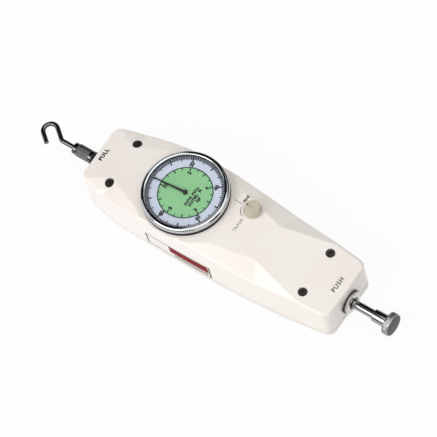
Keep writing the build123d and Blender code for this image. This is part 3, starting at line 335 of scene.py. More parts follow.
@dataclass(frozen=True)
class RolledMetal(Finish):
    """Sheet or bar as it left the mill or the stamping press.

    A fine grain along X and slight tarnish give a soft sheen with faint streaks.
    """

    shade: str
    roughness: float = 0.32
    patch_mm: float = 6.0
    grain_mm: float = 0.35
    grain_depth_mm: float = 0.004
    grain_stretch: Point = (0.05, 1.0, 1.0)

    def surface(self, tree: Tree) -> dict:
        """Stretched grain in roughness and bump, slight tarnish."""
        place = {"Vector": object_point(tree), "Scale": self.grain_stretch}
        stretched = add_node(tree, "ShaderNodeMapping", place).outputs["Vector"]
        fine = {"Vector": stretched, "Scale": 1.0 / (self.grain_mm * MM), "Detail": 3.0}
        grain = add_node(tree, "ShaderNodeTexNoise", fine).outputs["Fac"]
        height = {"Height": grain, "Distance": self.grain_depth_mm * MM, "Strength": 0.4}
        spread = {"Value": grain, "To Min": self.roughness * 0.75, "To Max": self.roughness * 1.35}
        return {
            "Base Color": mottled(tree, self.colour, self.shade, self.patch_mm),
            "Metallic": 1.0,
            "Roughness": add_node(tree, "ShaderNodeMapRange", spread).outputs["Result"],
            "Normal": add_node(tree, "ShaderNodeBump", height).outputs["Normal"],
        }


@dataclass(frozen=True)
class Coating(Finish):
    """Thin film such as black oxide, screen ink, paint or label film.

    It is matte to satin, with two close tones and a fine tooth that breaks its highlights.
    """

    shade: str
    roughness: float = 0.6
    gloss: float = 0.5
    patch_mm: float = 3.0
    tooth_mm: float = 0.5

    def surface(self, tree: Tree) -> dict:
        """Two close tones, and a fine tooth in the roughness."""
        fine = {"Vector": object_point(tree), "Scale": 1.0 / (self.tooth_mm * MM), "Detail": 2.0}
        tooth = add_node(tree, "ShaderNodeTexNoise", fine).outputs["Fac"]
        spread = {"Value": tooth, "To Min": self.roughness * 0.8, "To Max": self.roughness * 1.2}
        return {
            "Base Color": mottled(tree, self.colour, self.shade, self.patch_mm),
            "Roughness": add_node(tree, "ShaderNodeMapRange", spread).outputs["Result"],
            "IOR": 1.5,
            "Specular IOR Level": self.gloss,
        }


@dataclass(frozen=True)
class PrintedFace(Finish):
    """Screen-printed aluminium dial.

    Flat inks lie as rings about the dial's centre, each from its own radius outwards, and a
    slight tooth keeps them matte.
    """

    rings: tuple[tuple[float, str], ...]
    roughness: float = 0.42
    tooth_mm: float = 0.4
    tooth_depth_mm: float = 0.003

    def surface(self, tree: Tree) -> dict:
        """The rings of ink and their tooth."""
        radius, _ = about_axis(tree, DIAL)
        ink = linear(self.colour)
        for start_mm, ring_ink in self.rings:
            edge = {0: radius, 1: start_mm * MM}
            beyond = add_node(tree, "ShaderNodeMath", edge, operation="GREATER_THAN").outputs[0]
            layers = {"Factor": beyond, "A": ink, "B": linear(ring_ink)}
            ink = add_node(tree, "ShaderNodeMix", layers, data_type="RGBA").outputs["Result"]
        return {
            "Base Color": ink,
            "Roughness": self.roughness,
            "IOR": 1.5,
            "Normal": relief(tree, self.tooth_mm, self.tooth_depth_mm, 0.4),
        }


@dataclass(frozen=True)
class MouldedPlastic(Finish):
    """Injection-moulded ABS.

    It has an even colour, a soft gloss and a light spark texture, with a little light carried
    under its skin.
    """

    shade: str
    roughness: float = 0.36
    patch_mm: float = 4.0
    spark_mm: float = 0.5
    spark_depth_mm: float = 0.01
    skin_mm: Point = (0.6, 0.5, 0.4)

    def surface(self, tree: Tree) -> dict:
        """Moulded texture in the bump, and light under the skin."""
        return {
            "Base Color": mottled(tree, self.colour, self.shade, self.patch_mm),
            "Roughness": self.roughness,
            "IOR": 1.53,
            "Subsurface Weight": 0.05,
            "Subsurface Radius": Vector(self.skin_mm) * MM,
            "Normal": relief(tree, self.spark_mm, self.spark_depth_mm, 0.5),
        }


@dataclass(frozen=True)
class WindowGlass(Finish):
    """Flat coated window glass: clear, low in glare, with no dark shadow on the dial."""

    glare: float = 0.3

    def surface(self, tree: Tree) -> dict:
        """Clear tinted glass."""
        return {
            "Base Color": linear(self.colour),
            "Roughness": 0.0,
            "IOR": 1.5,
            "Specular IOR Level": self.glare,
            "Transmission Weight": 1.0,
        }

    def shader(self, tree: Tree) -> Socket:
        """Output socket of the shader: glass to the eye, a clear opening to the lamps."""
        glass = super().shader(tree)
        tint = {"Color": linear(self.colour)}
        clear = add_node(tree, "ShaderNodeBsdfTransparent", tint).outputs[0]
        shadow = add_node(tree, "ShaderNodeLightPath").outputs["Is Shadow Ray"]
        return add_node(tree, "ShaderNodeMixShader", {"Fac": shadow, 1: glass, 2: clear}).outputs[0]


@dataclass(frozen=True)
class StudioPaper(Finish):
    """Matte white paper under the gauge: white to the eye, with a soft shadow left in it."""

    glow: float = 0.92

    def shader(self, tree: Tree) -> Socket:
        """Output socket of the shader: paper to the lamps, mostly plain white to the eye."""
        paper = add_node(tree, "ShaderNodeBsdfDiffuse", {"Color": linear(self.colour)}).outputs[0]
        white = add_node(tree, "ShaderNodeEmission", {"Color": WHITE, "Strength": 1.0}).outputs[0]
        part = {0: directly_seen(tree), 1: self.glow}
        share = add_node(tree, "ShaderNodeMath", part, operation="MULTIPLY").outputs[0]
        return add_node(tree, "ShaderNodeMixShader", {"Fac": share, 1: paper, 2: white}).outputs[0]


@dataclass(frozen=True)
class Felt(Finish):
    """Black felt on the studio's cards: flat and dark, so that bright metal gets a dark edge."""

    def shader(self, tree: Tree) -> Socket:
        """Output socket of the shader: plain matte colour."""
        return add_node(tree, "ShaderNodeBsdfDiffuse", {"Color": linear(self.colour)}).outputs[0]


# ---- the gauge's finishes, with what each gives the eye -------------------------------------
# Painted castings: warm ivory with a soft gloss; the cover is a little duller.
CAST_ENAMEL = Enamel("enamel_ivory_die_cast", "#f6efe9", "#f2eae3")
COVER_ENAMEL = Enamel("enamel_ivory_back_cover", "#ece6df", "#e5ded6", roughness=0.36)
# Turned parts, from mirror bright on the bezel and the shaft to dull on faced and blacked ends. The faced
# end's dark grey is painted reflection: a dark colour that stands in for the darker surroundings it
# mirrors.
# On the screws the rings cross each small head as faint lines.
BEZEL_CHROME = TurnedMetal("chrome_plated_turned_brass", "#c2c4c6", 0.10, axis=DIAL)
TURNED_NICKEL = TurnedMetal("nickel_plated_turned_steel", "#a5a5a3", 0.16)
GROUND_SHAFT = TurnedMetal("ground_stainless_shaft", "#a2a3a5", 0.10, 0.2)
# Painted reflection: the faced end's dark colour stands in for the dark surroundings that it mirrors.
FACED_STEEL_PAINTED_REFLECTION = TurnedMetal("machine_faced_steel_painted_reflection", "#474746", 0.34, 0.5)
SATIN_NICKEL = TurnedMetal("satin_nickel_bush", "#d2cfc8", 0.30)
BLACKED_SCREW = TurnedMetal("black_oxide_socket_screws", "#56534e", 0.34, 0.5, UPRIGHT)
# The dark colour is partly the hook's dark steel and partly painted reflection, most of all on the
# knurled sleeve.
HOOK_WIRE = TurnedMetal("dark_polished_hook_wire", "#6c6d6f", 0.12, 0.5)
# Parts of the movement: cool grey steel and warm yellow brass, both streaked and soft.
ROLLED_STEEL = RolledMetal("bright_rolled_steel", "#9fa1a3", "#8d9093")
CLOCK_BRASS = RolledMetal("stamped_clock_brass", "#c9a557", "#b8924a")
# Dark films: the oxide on the nut and the set screws is satin, pointer and spacer are matte.
BLACK_OXIDE = Coating("black_oxide_screw_steel", "#171615", "#24211f", 0.38)
POINTER_BLACK = Coating("matte_black_painted_pointer", "#0b0c0e", "#141518", gloss=0.15)
SPACER_BLACK = Coating("black_moulded_spacer", "#33353b", "#3d3f46")
# Inks: flat colours with hardly any shine. The label's film is white and satin.
BLACK_INK = Coating("black_screen_ink", "#0a0b0e", "#131418", gloss=0.12)
GREEN_INK = Coating("dark_green_screen_ink", "#0f3825", "#14412c", gloss=0.12)
RED_INK = Coating("red_screen_ink", "#7c121b", "#871a23", gloss=0.12)
GREY_INK = Coating("grey_brown_screen_ink", "#453f39", "#504a43", gloss=0.12)
LABEL_FILM = Coating("white_polyester_label", "#f1ece6", "#ece6df", 0.35)
# Dial: a green field, a pale lilac ring and a darker ring at its edge, all matte. The darker ring is
# partly the printed edge band and partly painted shade from the bezel's lip.
DIAL_FACE = PrintedFace("screen_printed_dial", "#74aa75", ((17.5, "#b3b7c7"), (23.1, "#747884")))
# Knob: darker ivory than the housing, soft and even. Window: all but unseen.
KNOB_ABS = MouldedPlastic("ivory_moulded_abs", "#cac2b0", "#c2b9a6")
CLEAR_GLASS = WindowGlass("clear_window_glass", "#fbfdfd")
# Studio: paper that reads as white, and cards that only reflections see.
FLOOR_PAPER = StudioPaper("matte_white_floor", "#f4f4f4")
CARD_FELT = Felt("black_felt_card", "#141414")

BRASS_NODES = (
    "rack",
    "movement_rear_plate",
    "movement_front_plate",
    "movement_pillars",
    "transfer_gear",
    "hairspring_stud",
)
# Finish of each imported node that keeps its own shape; the others are rolled steel.
NODE_FINISH = {
    "front_housing": CAST_ENAMEL,
    "back_cover": COVER_ENAMEL,
    "housing_screws": BLACKED_SCREW,
    "dial_plate": DIAL_FACE,
    "dial_spacer": SPACER_BLACK,
    "lens": CLEAR_GLASS,
    "push_end_bush": SATIN_NICKEL,
    "pull_end_bush": SATIN_NICKEL,
    "main_shaft": GROUND_SHAFT,
    "hook": HOOK_WIRE,
    "collar_set_screws": BLACK_OXIDE,
    "pointer": POINTER_BLACK,
    "pointer_hub": POINTER_BLACK,
    "peak_knob": KNOB_ABS,
    **dict.fromkeys(BRASS_NODES, CLOCK_BRASS),
}


# ---- meshes ---------------------------------------------------------------------------------
def box_mm(node: str) -> tuple[Point, Point]:
    """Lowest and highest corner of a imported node, in millimetres."""
    low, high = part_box(node)
    return tuple(c / MM for c in low), tuple(c / MM for c in high)


def add_piece(
    name: str, mesh: Mesh, finish: Finish, body: Body, slot: Slot, instead_of: str | None = None
) -> bpy.types.Object:
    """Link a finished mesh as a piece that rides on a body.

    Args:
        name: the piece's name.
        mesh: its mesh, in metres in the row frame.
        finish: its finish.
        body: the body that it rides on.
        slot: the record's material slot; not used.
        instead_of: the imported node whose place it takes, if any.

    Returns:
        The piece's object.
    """
    mesh.materials.clear()
    mesh.materials.append(finish.material())
    mesh.shade_smooth()
    mesh.set_sharp_from_angle(angle=SMOOTH_ANGLE)
    piece = bpy.data.objects.new(name, mesh)
    bpy.context.scene.collection.objects.link(piece)
    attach(piece, body.value)
    if instead_of:
        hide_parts(instead_of)
    LOG.info("piece %s: %d faces on %s", name, len(mesh.polygons), body.value)
    return piece


def outward(mesh: Mesh, slivers: bool = False) -> Mesh:
    """Merge a mesh's doubles and turn its faces outwards.

    Args:
        mesh: the mesh to mend.
        slivers: whether faces with no area, as on a lathe's axis, are dissolved too.

    Returns:
        The same mesh.
    """
    work = bmesh.new()
    work.from_mesh(mesh)
    bmesh.ops.remove_doubles(work, verts=work.verts, dist=WELD * MM)
    bmesh.ops.recalc_face_normals(work, faces=work.faces)
    if slivers:
        bmesh.ops.dissolve_degenerate(work, edges=work.edges, dist=WELD * MM)
    work.to_mesh(mesh)
    work.free()
    return mesh


def mesh_mm(name: str, verts: list, faces: list) -> Mesh:
    """New mesh in metres from points in millimetres and tuples of point numbers."""
    mesh = bpy.data.meshes.new(name)
    mesh.from_pydata([tuple(c * MM for c in v) for v in verts], [], faces)
    return mesh


def lathe_mesh(name: str, profile: list[Pair], axis: Axis, segments: int) -> Mesh:
    """Turn a closed profile round an axis.

    Args:
        name: the mesh's name.
        profile: (radius, place along the axis) points of a closed section.
        axis: the axis.
        segments: steps round the axis.

    Returns:
        The closed mesh, in metres.
    """
    verts, faces = [], []
    x, y, z = axis.centre
    count = len(profile)
    for step in range(segments):
        angle = 2.0 * math.pi * step / segments
        c, s = math.cos(angle), math.sin(angle)
        for radius, along in profile:
            if axis.lay is Lay.ALONG_X:
                verts.append((along, y + radius * c, z + radius * s))
            else:
                verts.append((x + radius * c, y + radius * s, along))
    for step in range(segments):
        here, there = step * count, ((step + 1) % segments) * count
        for i in range(count):
            j = (i + 1) % count
            faces.append((here + i, here + j, there + j, there + i))
    return outward(mesh_mm(name, verts, faces), slivers=True)


def block(inner: float, outer: float, low: float, high: float) -> list[Pair]:
    """Rectangular section between two radii and two places along the axis."""
    return [(inner, low), (outer, low), (outer, high), (inner, high)]


def rounded(points: list[Pair], radius: float, steps: int = 5) -> list[Pair]:
    """Round the corners of a section, except those on the axis.

    Args:
        points: corners, in order round a closed section.
        radius: largest rounding radius.
        steps: steps along each rounded corner.

    Returns:
        The rounded section's points.
    """
    most_of_edge = 0.45
    result = []
    for i, point in enumerate(points):
        corner = Vector(point)
        before = Vector(points[i - 1]) - corner
        after = Vector(points[(i + 1) % len(points)]) - corner
        reach = min(radius, before.length * most_of_edge, after.length * most_of_edge)
        if corner.x < WELD:
            result.append(tuple(corner))
            continue
        start = corner + before.normalized() * reach
        end = corner + after.normalized() * reach
        for k in range(steps + 1):
            t = k / steps
            result.append(tuple(start * (1 - t) ** 2 + corner * 2 * t * (1 - t) + end * t**2))
    return result


def plate_mesh(name: str, grid: list[list[Point]], depth: Point) -> Mesh:
    """Thin closed plate whose face has a grid of points, so that it can follow a surface.

    Args:
        name: the mesh's name.
        grid: rows of points, all of one length.
        depth: step from the plate's face to its back.

    Returns:
        The mesh, in metres.
    """
    rows, columns = len(grid), len(grid[0])
    face = [Vector(point) for row in grid for point in row]
    back = [point + Vector(depth) for point in face]
    faces = []
    for start in range(0, (rows - 1) * columns, columns):
        for i in range(start, start + columns - 1):
            quad = (i, i + columns, i + columns + 1, i + 1)
            faces += [quad[::-1], tuple(corner + len(face) for corner in quad)]
    last_row = (rows - 1) * columns
    rim = [*range(0, last_row, columns), *range(last_row, last_row + columns - 1)]
    rim += [*range(last_row + columns - 1, columns - 1, -columns), *range(columns - 1, 0, -1)]
    faces += [(a, b, b + len(face), a + len(face)) for a, b in zip(rim, rim[1:] + rim[:1])]
    return outward(mesh_mm(name, face + back, faces))


def text_mesh(words: str, height: float, spot: Point, spacing: float, thick: float, bold: float) -> Mesh:
    """Flat lettering with a little thickness, upright as the dial is read.

    Args:
        words: what it says.
        height: height of a capital.
        spot: the lettering's centre.
        spacing: letter spacing as a share of the font's own.
        thick: thickness of the ink.
        bold: how far the strokes are thickened on each side.

    Returns:
        The mesh, in metres.
    """
    cap_share = 0.70
    curve = bpy.data.curves.new("lettering", "FONT")
    curve.body = words
    curve.size = height / cap_share
    curve.align_x = "CENTER"
    curve.align_y = "CENTER"
    curve.space_character = spacing
    curve.extrude = thick / 2.0
    curve.offset = bold
    curve.resolution_u = 3
    carrier = bpy.data.objects.new("lettering", curve)
    bpy.context.scene.collection.objects.link(carrier)
    depsgraph = bpy.context.evaluated_depsgraph_get()
    mesh = bpy.data.meshes.new_from_object(carrier.evaluated_get(depsgraph))
    bpy.data.objects.remove(carrier)
    bpy.data.curves.remove(curve)
    place = Matrix.Translation(Vector(spot)) @ Matrix.Rotation(QUARTER_TURN, 4, "Z")
    mesh.transform(Matrix.Scale(MM, 4) @ place)
    return outward(mesh)


def joined(name: str, meshes: list[Mesh]) -> Mesh:
    """Join meshes into one.

    Args:
        name: the new mesh's name.
        meshes: meshes to join; they are removed.

    Returns:
        The joined mesh.
    """
    work = bmesh.new()
    for mesh in meshes:
        work.from_mesh(mesh)
        bpy.data.meshes.remove(mesh)
    result = bpy.data.meshes.new(name)
    work.to_mesh(result)
    work.free()
    return result


class Drape:
    """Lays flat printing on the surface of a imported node."""

    def __init__(self, node: bpy.types.Object) -> None:
        """Keep a search tree of the node's surface.

        Args:
            node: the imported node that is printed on.
        """
        mesh = node.data
        mesh.calc_loop_triangles()
        points = [v.co.copy() for v in mesh.vertices]
        self.tree = BVHTree.FromPolygons(points, [tuple(t.vertices) for t in mesh.loop_triangles])

    def lay(self, mesh: Mesh, toward: Point, lift: float) -> Mesh:
        """Move each point along a direction until it stands on the surface.

        Args:
            mesh: drawing outside the node, whose own depth along the direction is kept.
            toward: unit direction from outside to the surface.
            lift: height of the drawing's middle above the surface.

        Returns:
            The same mesh.
        """
        way = Vector(toward)
        depths = [v.co.dot(way) for v in mesh.vertices]
        middle = (min(depths) + max(depths)) / 2.0
        for vertex, depth in zip(mesh.vertices, depths):
            own_depth = way * (depth - middle)
            hit, _, _, _ = self.tree.ray_cast(vertex.co - own_depth, way)
            if hit is not None:
                vertex.co = hit + own_depth - way * lift * MM
        return mesh


# ---- geometry node trees --------------------------------------------------------------------
class NodeRule:
    """A geometry node tree with named inputs, run to give plain meshes."""

    def __init__(self, name: str, sizes: dict[str, int | float]) -> None:
        """Make the tree, its inputs for sizes and one for the finish.

        Args:
            name: the tree's name.
            sizes: input name to default: a whole number for a count, else metres or radians.
        """
        self.tree = bpy.data.node_groups.new(name, "GeometryNodeTree")
        self.names: dict[str, str] = {}
        for label, default in sizes.items():
            kind = "NodeSocketInt" if isinstance(default, int) else "NodeSocketFloat"
            self._add_input(label, kind).default_value = default
        self._add_input("Finish", "NodeSocketMaterial")
        self.tree.interface.new_socket("Geometry", in_out="OUTPUT", socket_type="NodeSocketGeometry")
        self.inputs = self.tree.nodes.new("NodeGroupInput")
        self.output = self.tree.nodes.new("NodeGroupOutput")

    def _add_input(self, label: str, kind: str) -> bpy.types.NodeTreeInterfaceSocket:
        """Add a named input of a kind and keep its identifier."""
        socket = self.tree.interface.new_socket(label, in_out="INPUT", socket_type=kind)
        self.names[label] = socket.identifier
        return socket

    def value(self, label: str) -> Socket:
        """Output socket of a named input."""
        return self.inputs.outputs[label]

    def math(self, operation: str, *values: Socket | float) -> Socket:
        """Result socket of a sum on sockets or numbers."""
        inputs = dict(enumerate(values))
        return add_node(self.tree, "ShaderNodeMath", inputs, operation=operation).outputs[0]

    def close(self, geometry: Socket) -> None:
        """End the tree: realise instances and set the material."""
        real = add_node(self.tree, "GeometryNodeRealizeInstances", {"Geometry": geometry})
        dress = {"Geometry": real.outputs[0], "Material": self.value("Finish")}
        dressed = add_node(self.tree, "GeometryNodeSetMaterial", dress)
        self.tree.links.new(dressed.outputs[0], self.output.inputs[0])

    def run(self, name: str, sizes: dict[str, int | float], finish: Finish) -> Mesh:
        """Run the tree.

        Args:
            name: name of the mesh.
            sizes: input name to value.
            finish: the mesh's finish.

        Returns:
            The plain mesh that the tree makes, in the tree's own frame.
        """
        carrier = bpy.data.objects.new(name, bpy.data.meshes.new(name))
        bpy.context.scene.collection.objects.link(carrier)
        modifier = carrier.modifiers.new(name, "NODES")
        modifier.node_group = self.tree
        for label, value in sizes.items():
            modifier[self.names[label]] = value
        modifier[self.names["Finish"]] = finish.material()
        depsgraph = bpy.context.evaluated_depsgraph_get()
        mesh = bpy.data.meshes.new_from_object(carrier.evaluated_get(depsgraph))
        carrier.modifiers.remove(modifier)
        bpy.data.objects.remove(carrier)
        return mesh


class MarkRing(NodeRule):
    """Equal bars set round a centre, such as the divisions of a dial."""

    def __init__(self) -> None:
        """Build the tree."""
        sizes = {"Count": 10, "Outer Radius": 0.02, "Length": 0.002, "Width": 0.0004}
        super().__init__("mark_ring", {**sizes, "Thickness": 0.00004, "Start": 0.0, "Step": 0.1})
        tree, value = self.tree, self.value
        index = add_node(tree, "GeometryNodeInputIndex").outputs[0]
        angle = self.math("ADD", self.math("MULTIPLY", index, value("Step")), value("Start"))
        middle = self.math("SUBTRACT", value("Outer Radius"), self.math("MULTIPLY", value("Length"), 0.5))
        x = self.math("MULTIPLY", middle, self.math("COSINE", angle))
        y = self.math("MULTIPLY", middle, self.math("SINE", angle))
        spot = add_node(tree, "ShaderNodeCombineXYZ", {0: x, 1: y}).outputs[0]
        points = add_node(tree, "GeometryNodePoints", {"Count": value("Count")}).outputs[0]
        place = {"Geometry": points, "Position": spot}
        placed = add_node(tree, "GeometryNodeSetPosition", place).outputs[0]
        sides = {0: value("Length"), 1: value("Width"), 2: value("Thickness")}
        size = add_node(tree, "ShaderNodeCombineXYZ", sides).outputs[0]
        mark = add_node(tree, "GeometryNodeMeshCube", {"Size": size}).outputs[0]
        turn = add_node(tree, "ShaderNodeCombineXYZ", {2: angle}).outputs[0]
        copies = {"Points": placed, "Instance": mark, "Rotation": turn}
        self.close(add_node(tree, "GeometryNodeInstanceOnPoints", copies).outputs[0])


class KnurledBarrel(NodeRule):
    """Closed barrel whose wall is cut with a diamond knurl and chamfered at its ends."""

    depth: float = 0.42
    chamfer: float = 0.35
    steps_per_groove: int = 4
    fewest_steps: int = 8

    def __init__(self) -> None:
        """Build the tree, in which the barrel lies along Z."""
        sizes = {"Radius": 0.008, "Length": 0.005, "Starts": 40, "Lead": 0.001, "Depth": 0.0003}
        super().__init__("knurled_barrel", {**sizes, "Chamfer": 0.0004, "Around": 160, "Along": 20})
        tree, value = self.tree, self.value
        form = {
            "Vertices": value("Around"),
            "Side Segments": value("Along"),
            "Radius": value("Radius"),
            "Depth": value("Length"),
        }
        barrel = add_node(tree, "GeometryNodeMeshCylinder", form, fill_type="NGON").outputs["Mesh"]
        position = add_node(tree, "GeometryNodeInputPosition").outputs[0]
        x, y, z = add_node(tree, "ShaderNodeSeparateXYZ", {0: position}).outputs
        turns = self.math("DIVIDE", self.math("ARCTAN2", y, x), 2.0 * math.pi)
        around = self.math("MULTIPLY", turns, value("Starts"))
        along = self.math("DIVIDE", z, value("Lead"))
        one_way = self.math("PINGPONG", self.math("ADD", around, along), 0.5)
        other_way = self.math("PINGPONG", self.math("SUBTRACT", around, along), 0.5)
        height = self.math("MULTIPLY", self.math("MINIMUM", one_way, other_way), 2.0)
        cut = self.math("MULTIPLY", self.math("SUBTRACT", 1.0, height), value("Depth"))
        half = self.math("MULTIPLY", value("Length"), 0.5)
        inside = self.math("SUBTRACT", half, value("Chamfer"))
        over = self.math("MAXIMUM", self.math("SUBTRACT", self.math("ABSOLUTE", z), inside), 0.0)
        drop = self.math("MAXIMUM", cut, over)
        scale = self.math("SUBTRACT", 1.0, self.math("DIVIDE", drop, value("Radius")))
        stretch = add_node(tree, "ShaderNodeCombineXYZ", {0: scale, 1: scale, 2: 1.0}).outputs[0]
        factors = {0: position, 1: stretch}
        moved = add_node(tree, "ShaderNodeVectorMath", factors, operation="MULTIPLY").outputs[0]
        place = {"Geometry": barrel, "Position": moved}
        self.close(add_node(tree, "GeometryNodeSetPosition", place).outputs[0])

    def on_shaft(self, name: str, start: float, length: float, radius: float, starts: int) -> Mesh:
        """Make a barrel on the shaft's axis.

        Args:
            name: the mesh's name.
            start: where it starts, along X.
            length: its length towards the push head.
            radius: its largest radius.
            starts: grooves round it, each way.

        Returns:
            The mesh, in metres in the row frame.
        """
        lead = 2.0 * math.pi * radius / starts
        sizes = {
            "Radius": radius * MM,
            "Length": length * MM,
            "Starts": starts,
            "Lead": lead * MM,
            "Depth": self.depth * MM,
            "Chamfer": self.chamfer * MM,
            "Around": starts * self.steps_per_groove,
            "Along": max(self.fewest_steps, int(length / lead * self.steps_per_groove)),
        }
        mesh = self.run(name, sizes, TURNED_NICKEL)
        middle = Vector((start + length / 2, *SHAFT.centre[1:])) * MM
        mesh.transform(Matrix.Translation(middle) @ Matrix.Rotation(QUARTER_TURN, 4, "Y"))
        return outward(mesh)


# ---- sub-assemblies -------------------------------------------------------------------------
@dataclass
class PackedNodes:
    """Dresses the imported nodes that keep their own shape."""

    nodes: dict[str, bpy.types.Object]

    def build(self) -> None:
        """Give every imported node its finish."""
        for name, node in self.nodes.items():
            finish = NODE_FINISH.get(name, ROLLED_STEEL)
            node.data.materials.clear()
            node.data.materials.append(finish.material())
            LOG.info("node %s: %s", name, finish.name)


@dataclass(frozen=True)
class Divisions:
    """A ring of equal marks on a scale: how many, one to how many steps, and their size."""

    count: int
    every: int
    length: float
    width: float


@dataclass(frozen=True)
class Scale:
    """One scale of the dial, counted clockwise from zero."""

    outer_r: float
    step_deg: float
    divisions: tuple[Divisions, ...]
    figures: tuple[int, ...]
    steps_per_unit: int
    figures_r: float
    figure_height: float


NEWTON_SCALE = Scale(
    outer_r=25.2,
    step_deg=3.6,
    divisions=(Divisions(100, 1, 2.2, 0.62), Divisions(20, 5, 3.2, 0.70), Divisions(10, 10, 3.8, 0.95)),
    figures=(20, 40, 60, 80),
    steps_per_unit=1,
    figures_r=19.85,
    figure_height=2.5,
)
KILOGRAM_SCALE = Scale(
    outer_r=17.55,
    step_deg=17.65,
    divisions=(Divisions(21, 1, 1.7, 0.62), Divisions(11, 2, 2.4, 0.85)),
    figures=(2, 4, 6, 8, 10),
    steps_per_unit=2,
    figures_r=13.8,
    figure_height=2.3,
)


@dataclass
class DialPrinting:
    """Scales, figures and wording on the dial's face."""

    marks: MarkRing
    scales: tuple[Scale, ...] = (NEWTON_SCALE, KILOGRAM_SCALE)
    zero_deg: float = -4.0
    ink_lift: float = 0.03
    ink_thick: float = 0.04
    bold: float = 0.24
    line_width: float = 0.80
    eyelet_radii: Pair = (1.45, 2.98)
    eyelet_thick: float = 0.4
    # words, distance below the centre, height, letter spacing
    wording: tuple[tuple[str, float, float, float], ...] = (
        ("PUSH PULL", 4.9, 1.6, 1.35),
        ("OUTER  N", 7.4, 1.6, 1.35),
        ("kgf", 9.9, 1.5, 1.3),
    )

    def __post_init__(self) -> None:
        """Find the heights of the face and of the ink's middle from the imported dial."""
        self.face_z = box_mm("dial_plate")[1][2]
        self.ink_z = self.face_z + self.ink_lift

    def build(self) -> None:
        """Make the scales and the wording."""
        rings = [self._ring(scale, marks) for scale in self.scales for marks in scale.divisions]
        self._ink("dial_divisions", rings)
        self._rings()
        self._ink("dial_figures", self._figures())
        self._ink("dial_wording", self._wording())

    def _ink(self, name: str, meshes: list[Mesh]) -> None:
        """Join meshes into one piece of black ink on the dial."""
        add_piece(name, joined(name, meshes), BLACK_INK, Body.HOUSING, Slot.DIAL)

    def _ring(self, scale: Scale, marks: Divisions) -> Mesh:
        """Make one ring of marks.

        Args:
            scale: the scale that it belongs to.
            marks: its number, steps and sizes.

        Returns:
            The mesh, in metres in the row frame.
        """
        sizes = {
            "Count": marks.count,
            "Outer Radius": scale.outer_r * MM,
            "Length": marks.length * MM,
            "Width": marks.width * MM,
            "Thickness": self.ink_thick * MM,
            "Start": math.radians(180.0 - self.zero_deg),
            "Step": -math.radians(scale.step_deg * marks.every),
        }
        mesh = self.marks.run("marks", sizes, BLACK_INK)
        mesh.transform(Matrix.Translation(Vector((*DIAL.centre[:2], self.ink_z)) * MM))
        return mesh

    def _rings(self) -> None:
        """Make the dark line round the green field, and the eyelet that closes the dial's hole."""
        line_r, half = KILOGRAM_SCALE.outer_r, self.line_width / 2
        low = self.ink_z - self.ink_thick / 2
        section = block(line_r - half, line_r + half, low, low + self.ink_thick)
        mesh = lathe_mesh("field_line", section, DIAL, segments=160)
        add_piece("dial_field_line", mesh, GREEN_INK, Body.HOUSING, Slot.DIAL)
        section = block(*self.eyelet_radii, self.face_z - self.eyelet_thick, self.face_z)
        mesh = lathe_mesh("dial_eyelet", section, DIAL, segments=64)
        add_piece("dial_eyelet", mesh, DIAL_FACE, Body.HOUSING, Slot.DIAL)

    def _figures(self) -> list[Mesh]:
        """Figures of both scales, each a mesh."""
        meshes = []
        for scale in self.scales:
            for figure in scale.figures:
                turn = figure * scale.steps_per_unit * scale.step_deg
                angle = math.radians(180.0 - self.zero_deg - turn)
                x = DIAL.centre[0] + scale.figures_r * math.cos(angle)
                y = DIAL.centre[1] + scale.figures_r * math.sin(angle)
                height, spot = scale.figure_height, (x, y, self.ink_z)
                meshes.append(text_mesh(str(figure), height, spot, 1.0, self.ink_thick, self.bold))
        return meshes

    def _wording(self) -> list[Mesh]:
        """Plain lines that name the scales, each a mesh."""
        meshes = []
        for words, below, height, spacing in self.wording:
            spot = (DIAL.centre[0] + below, DIAL.centre[1], self.ink_z)
            meshes.append(text_mesh(words, height, spot, spacing, self.ink_thick, self.bold))
        return meshes


@dataclass(frozen=True)
class Word:
    """One printed word: its piece, wording, place, lettering and ink."""

    piece: str
    words: str
    centre: Pair
    height: float
    spacing: float
    ink: Finish
    bold: float


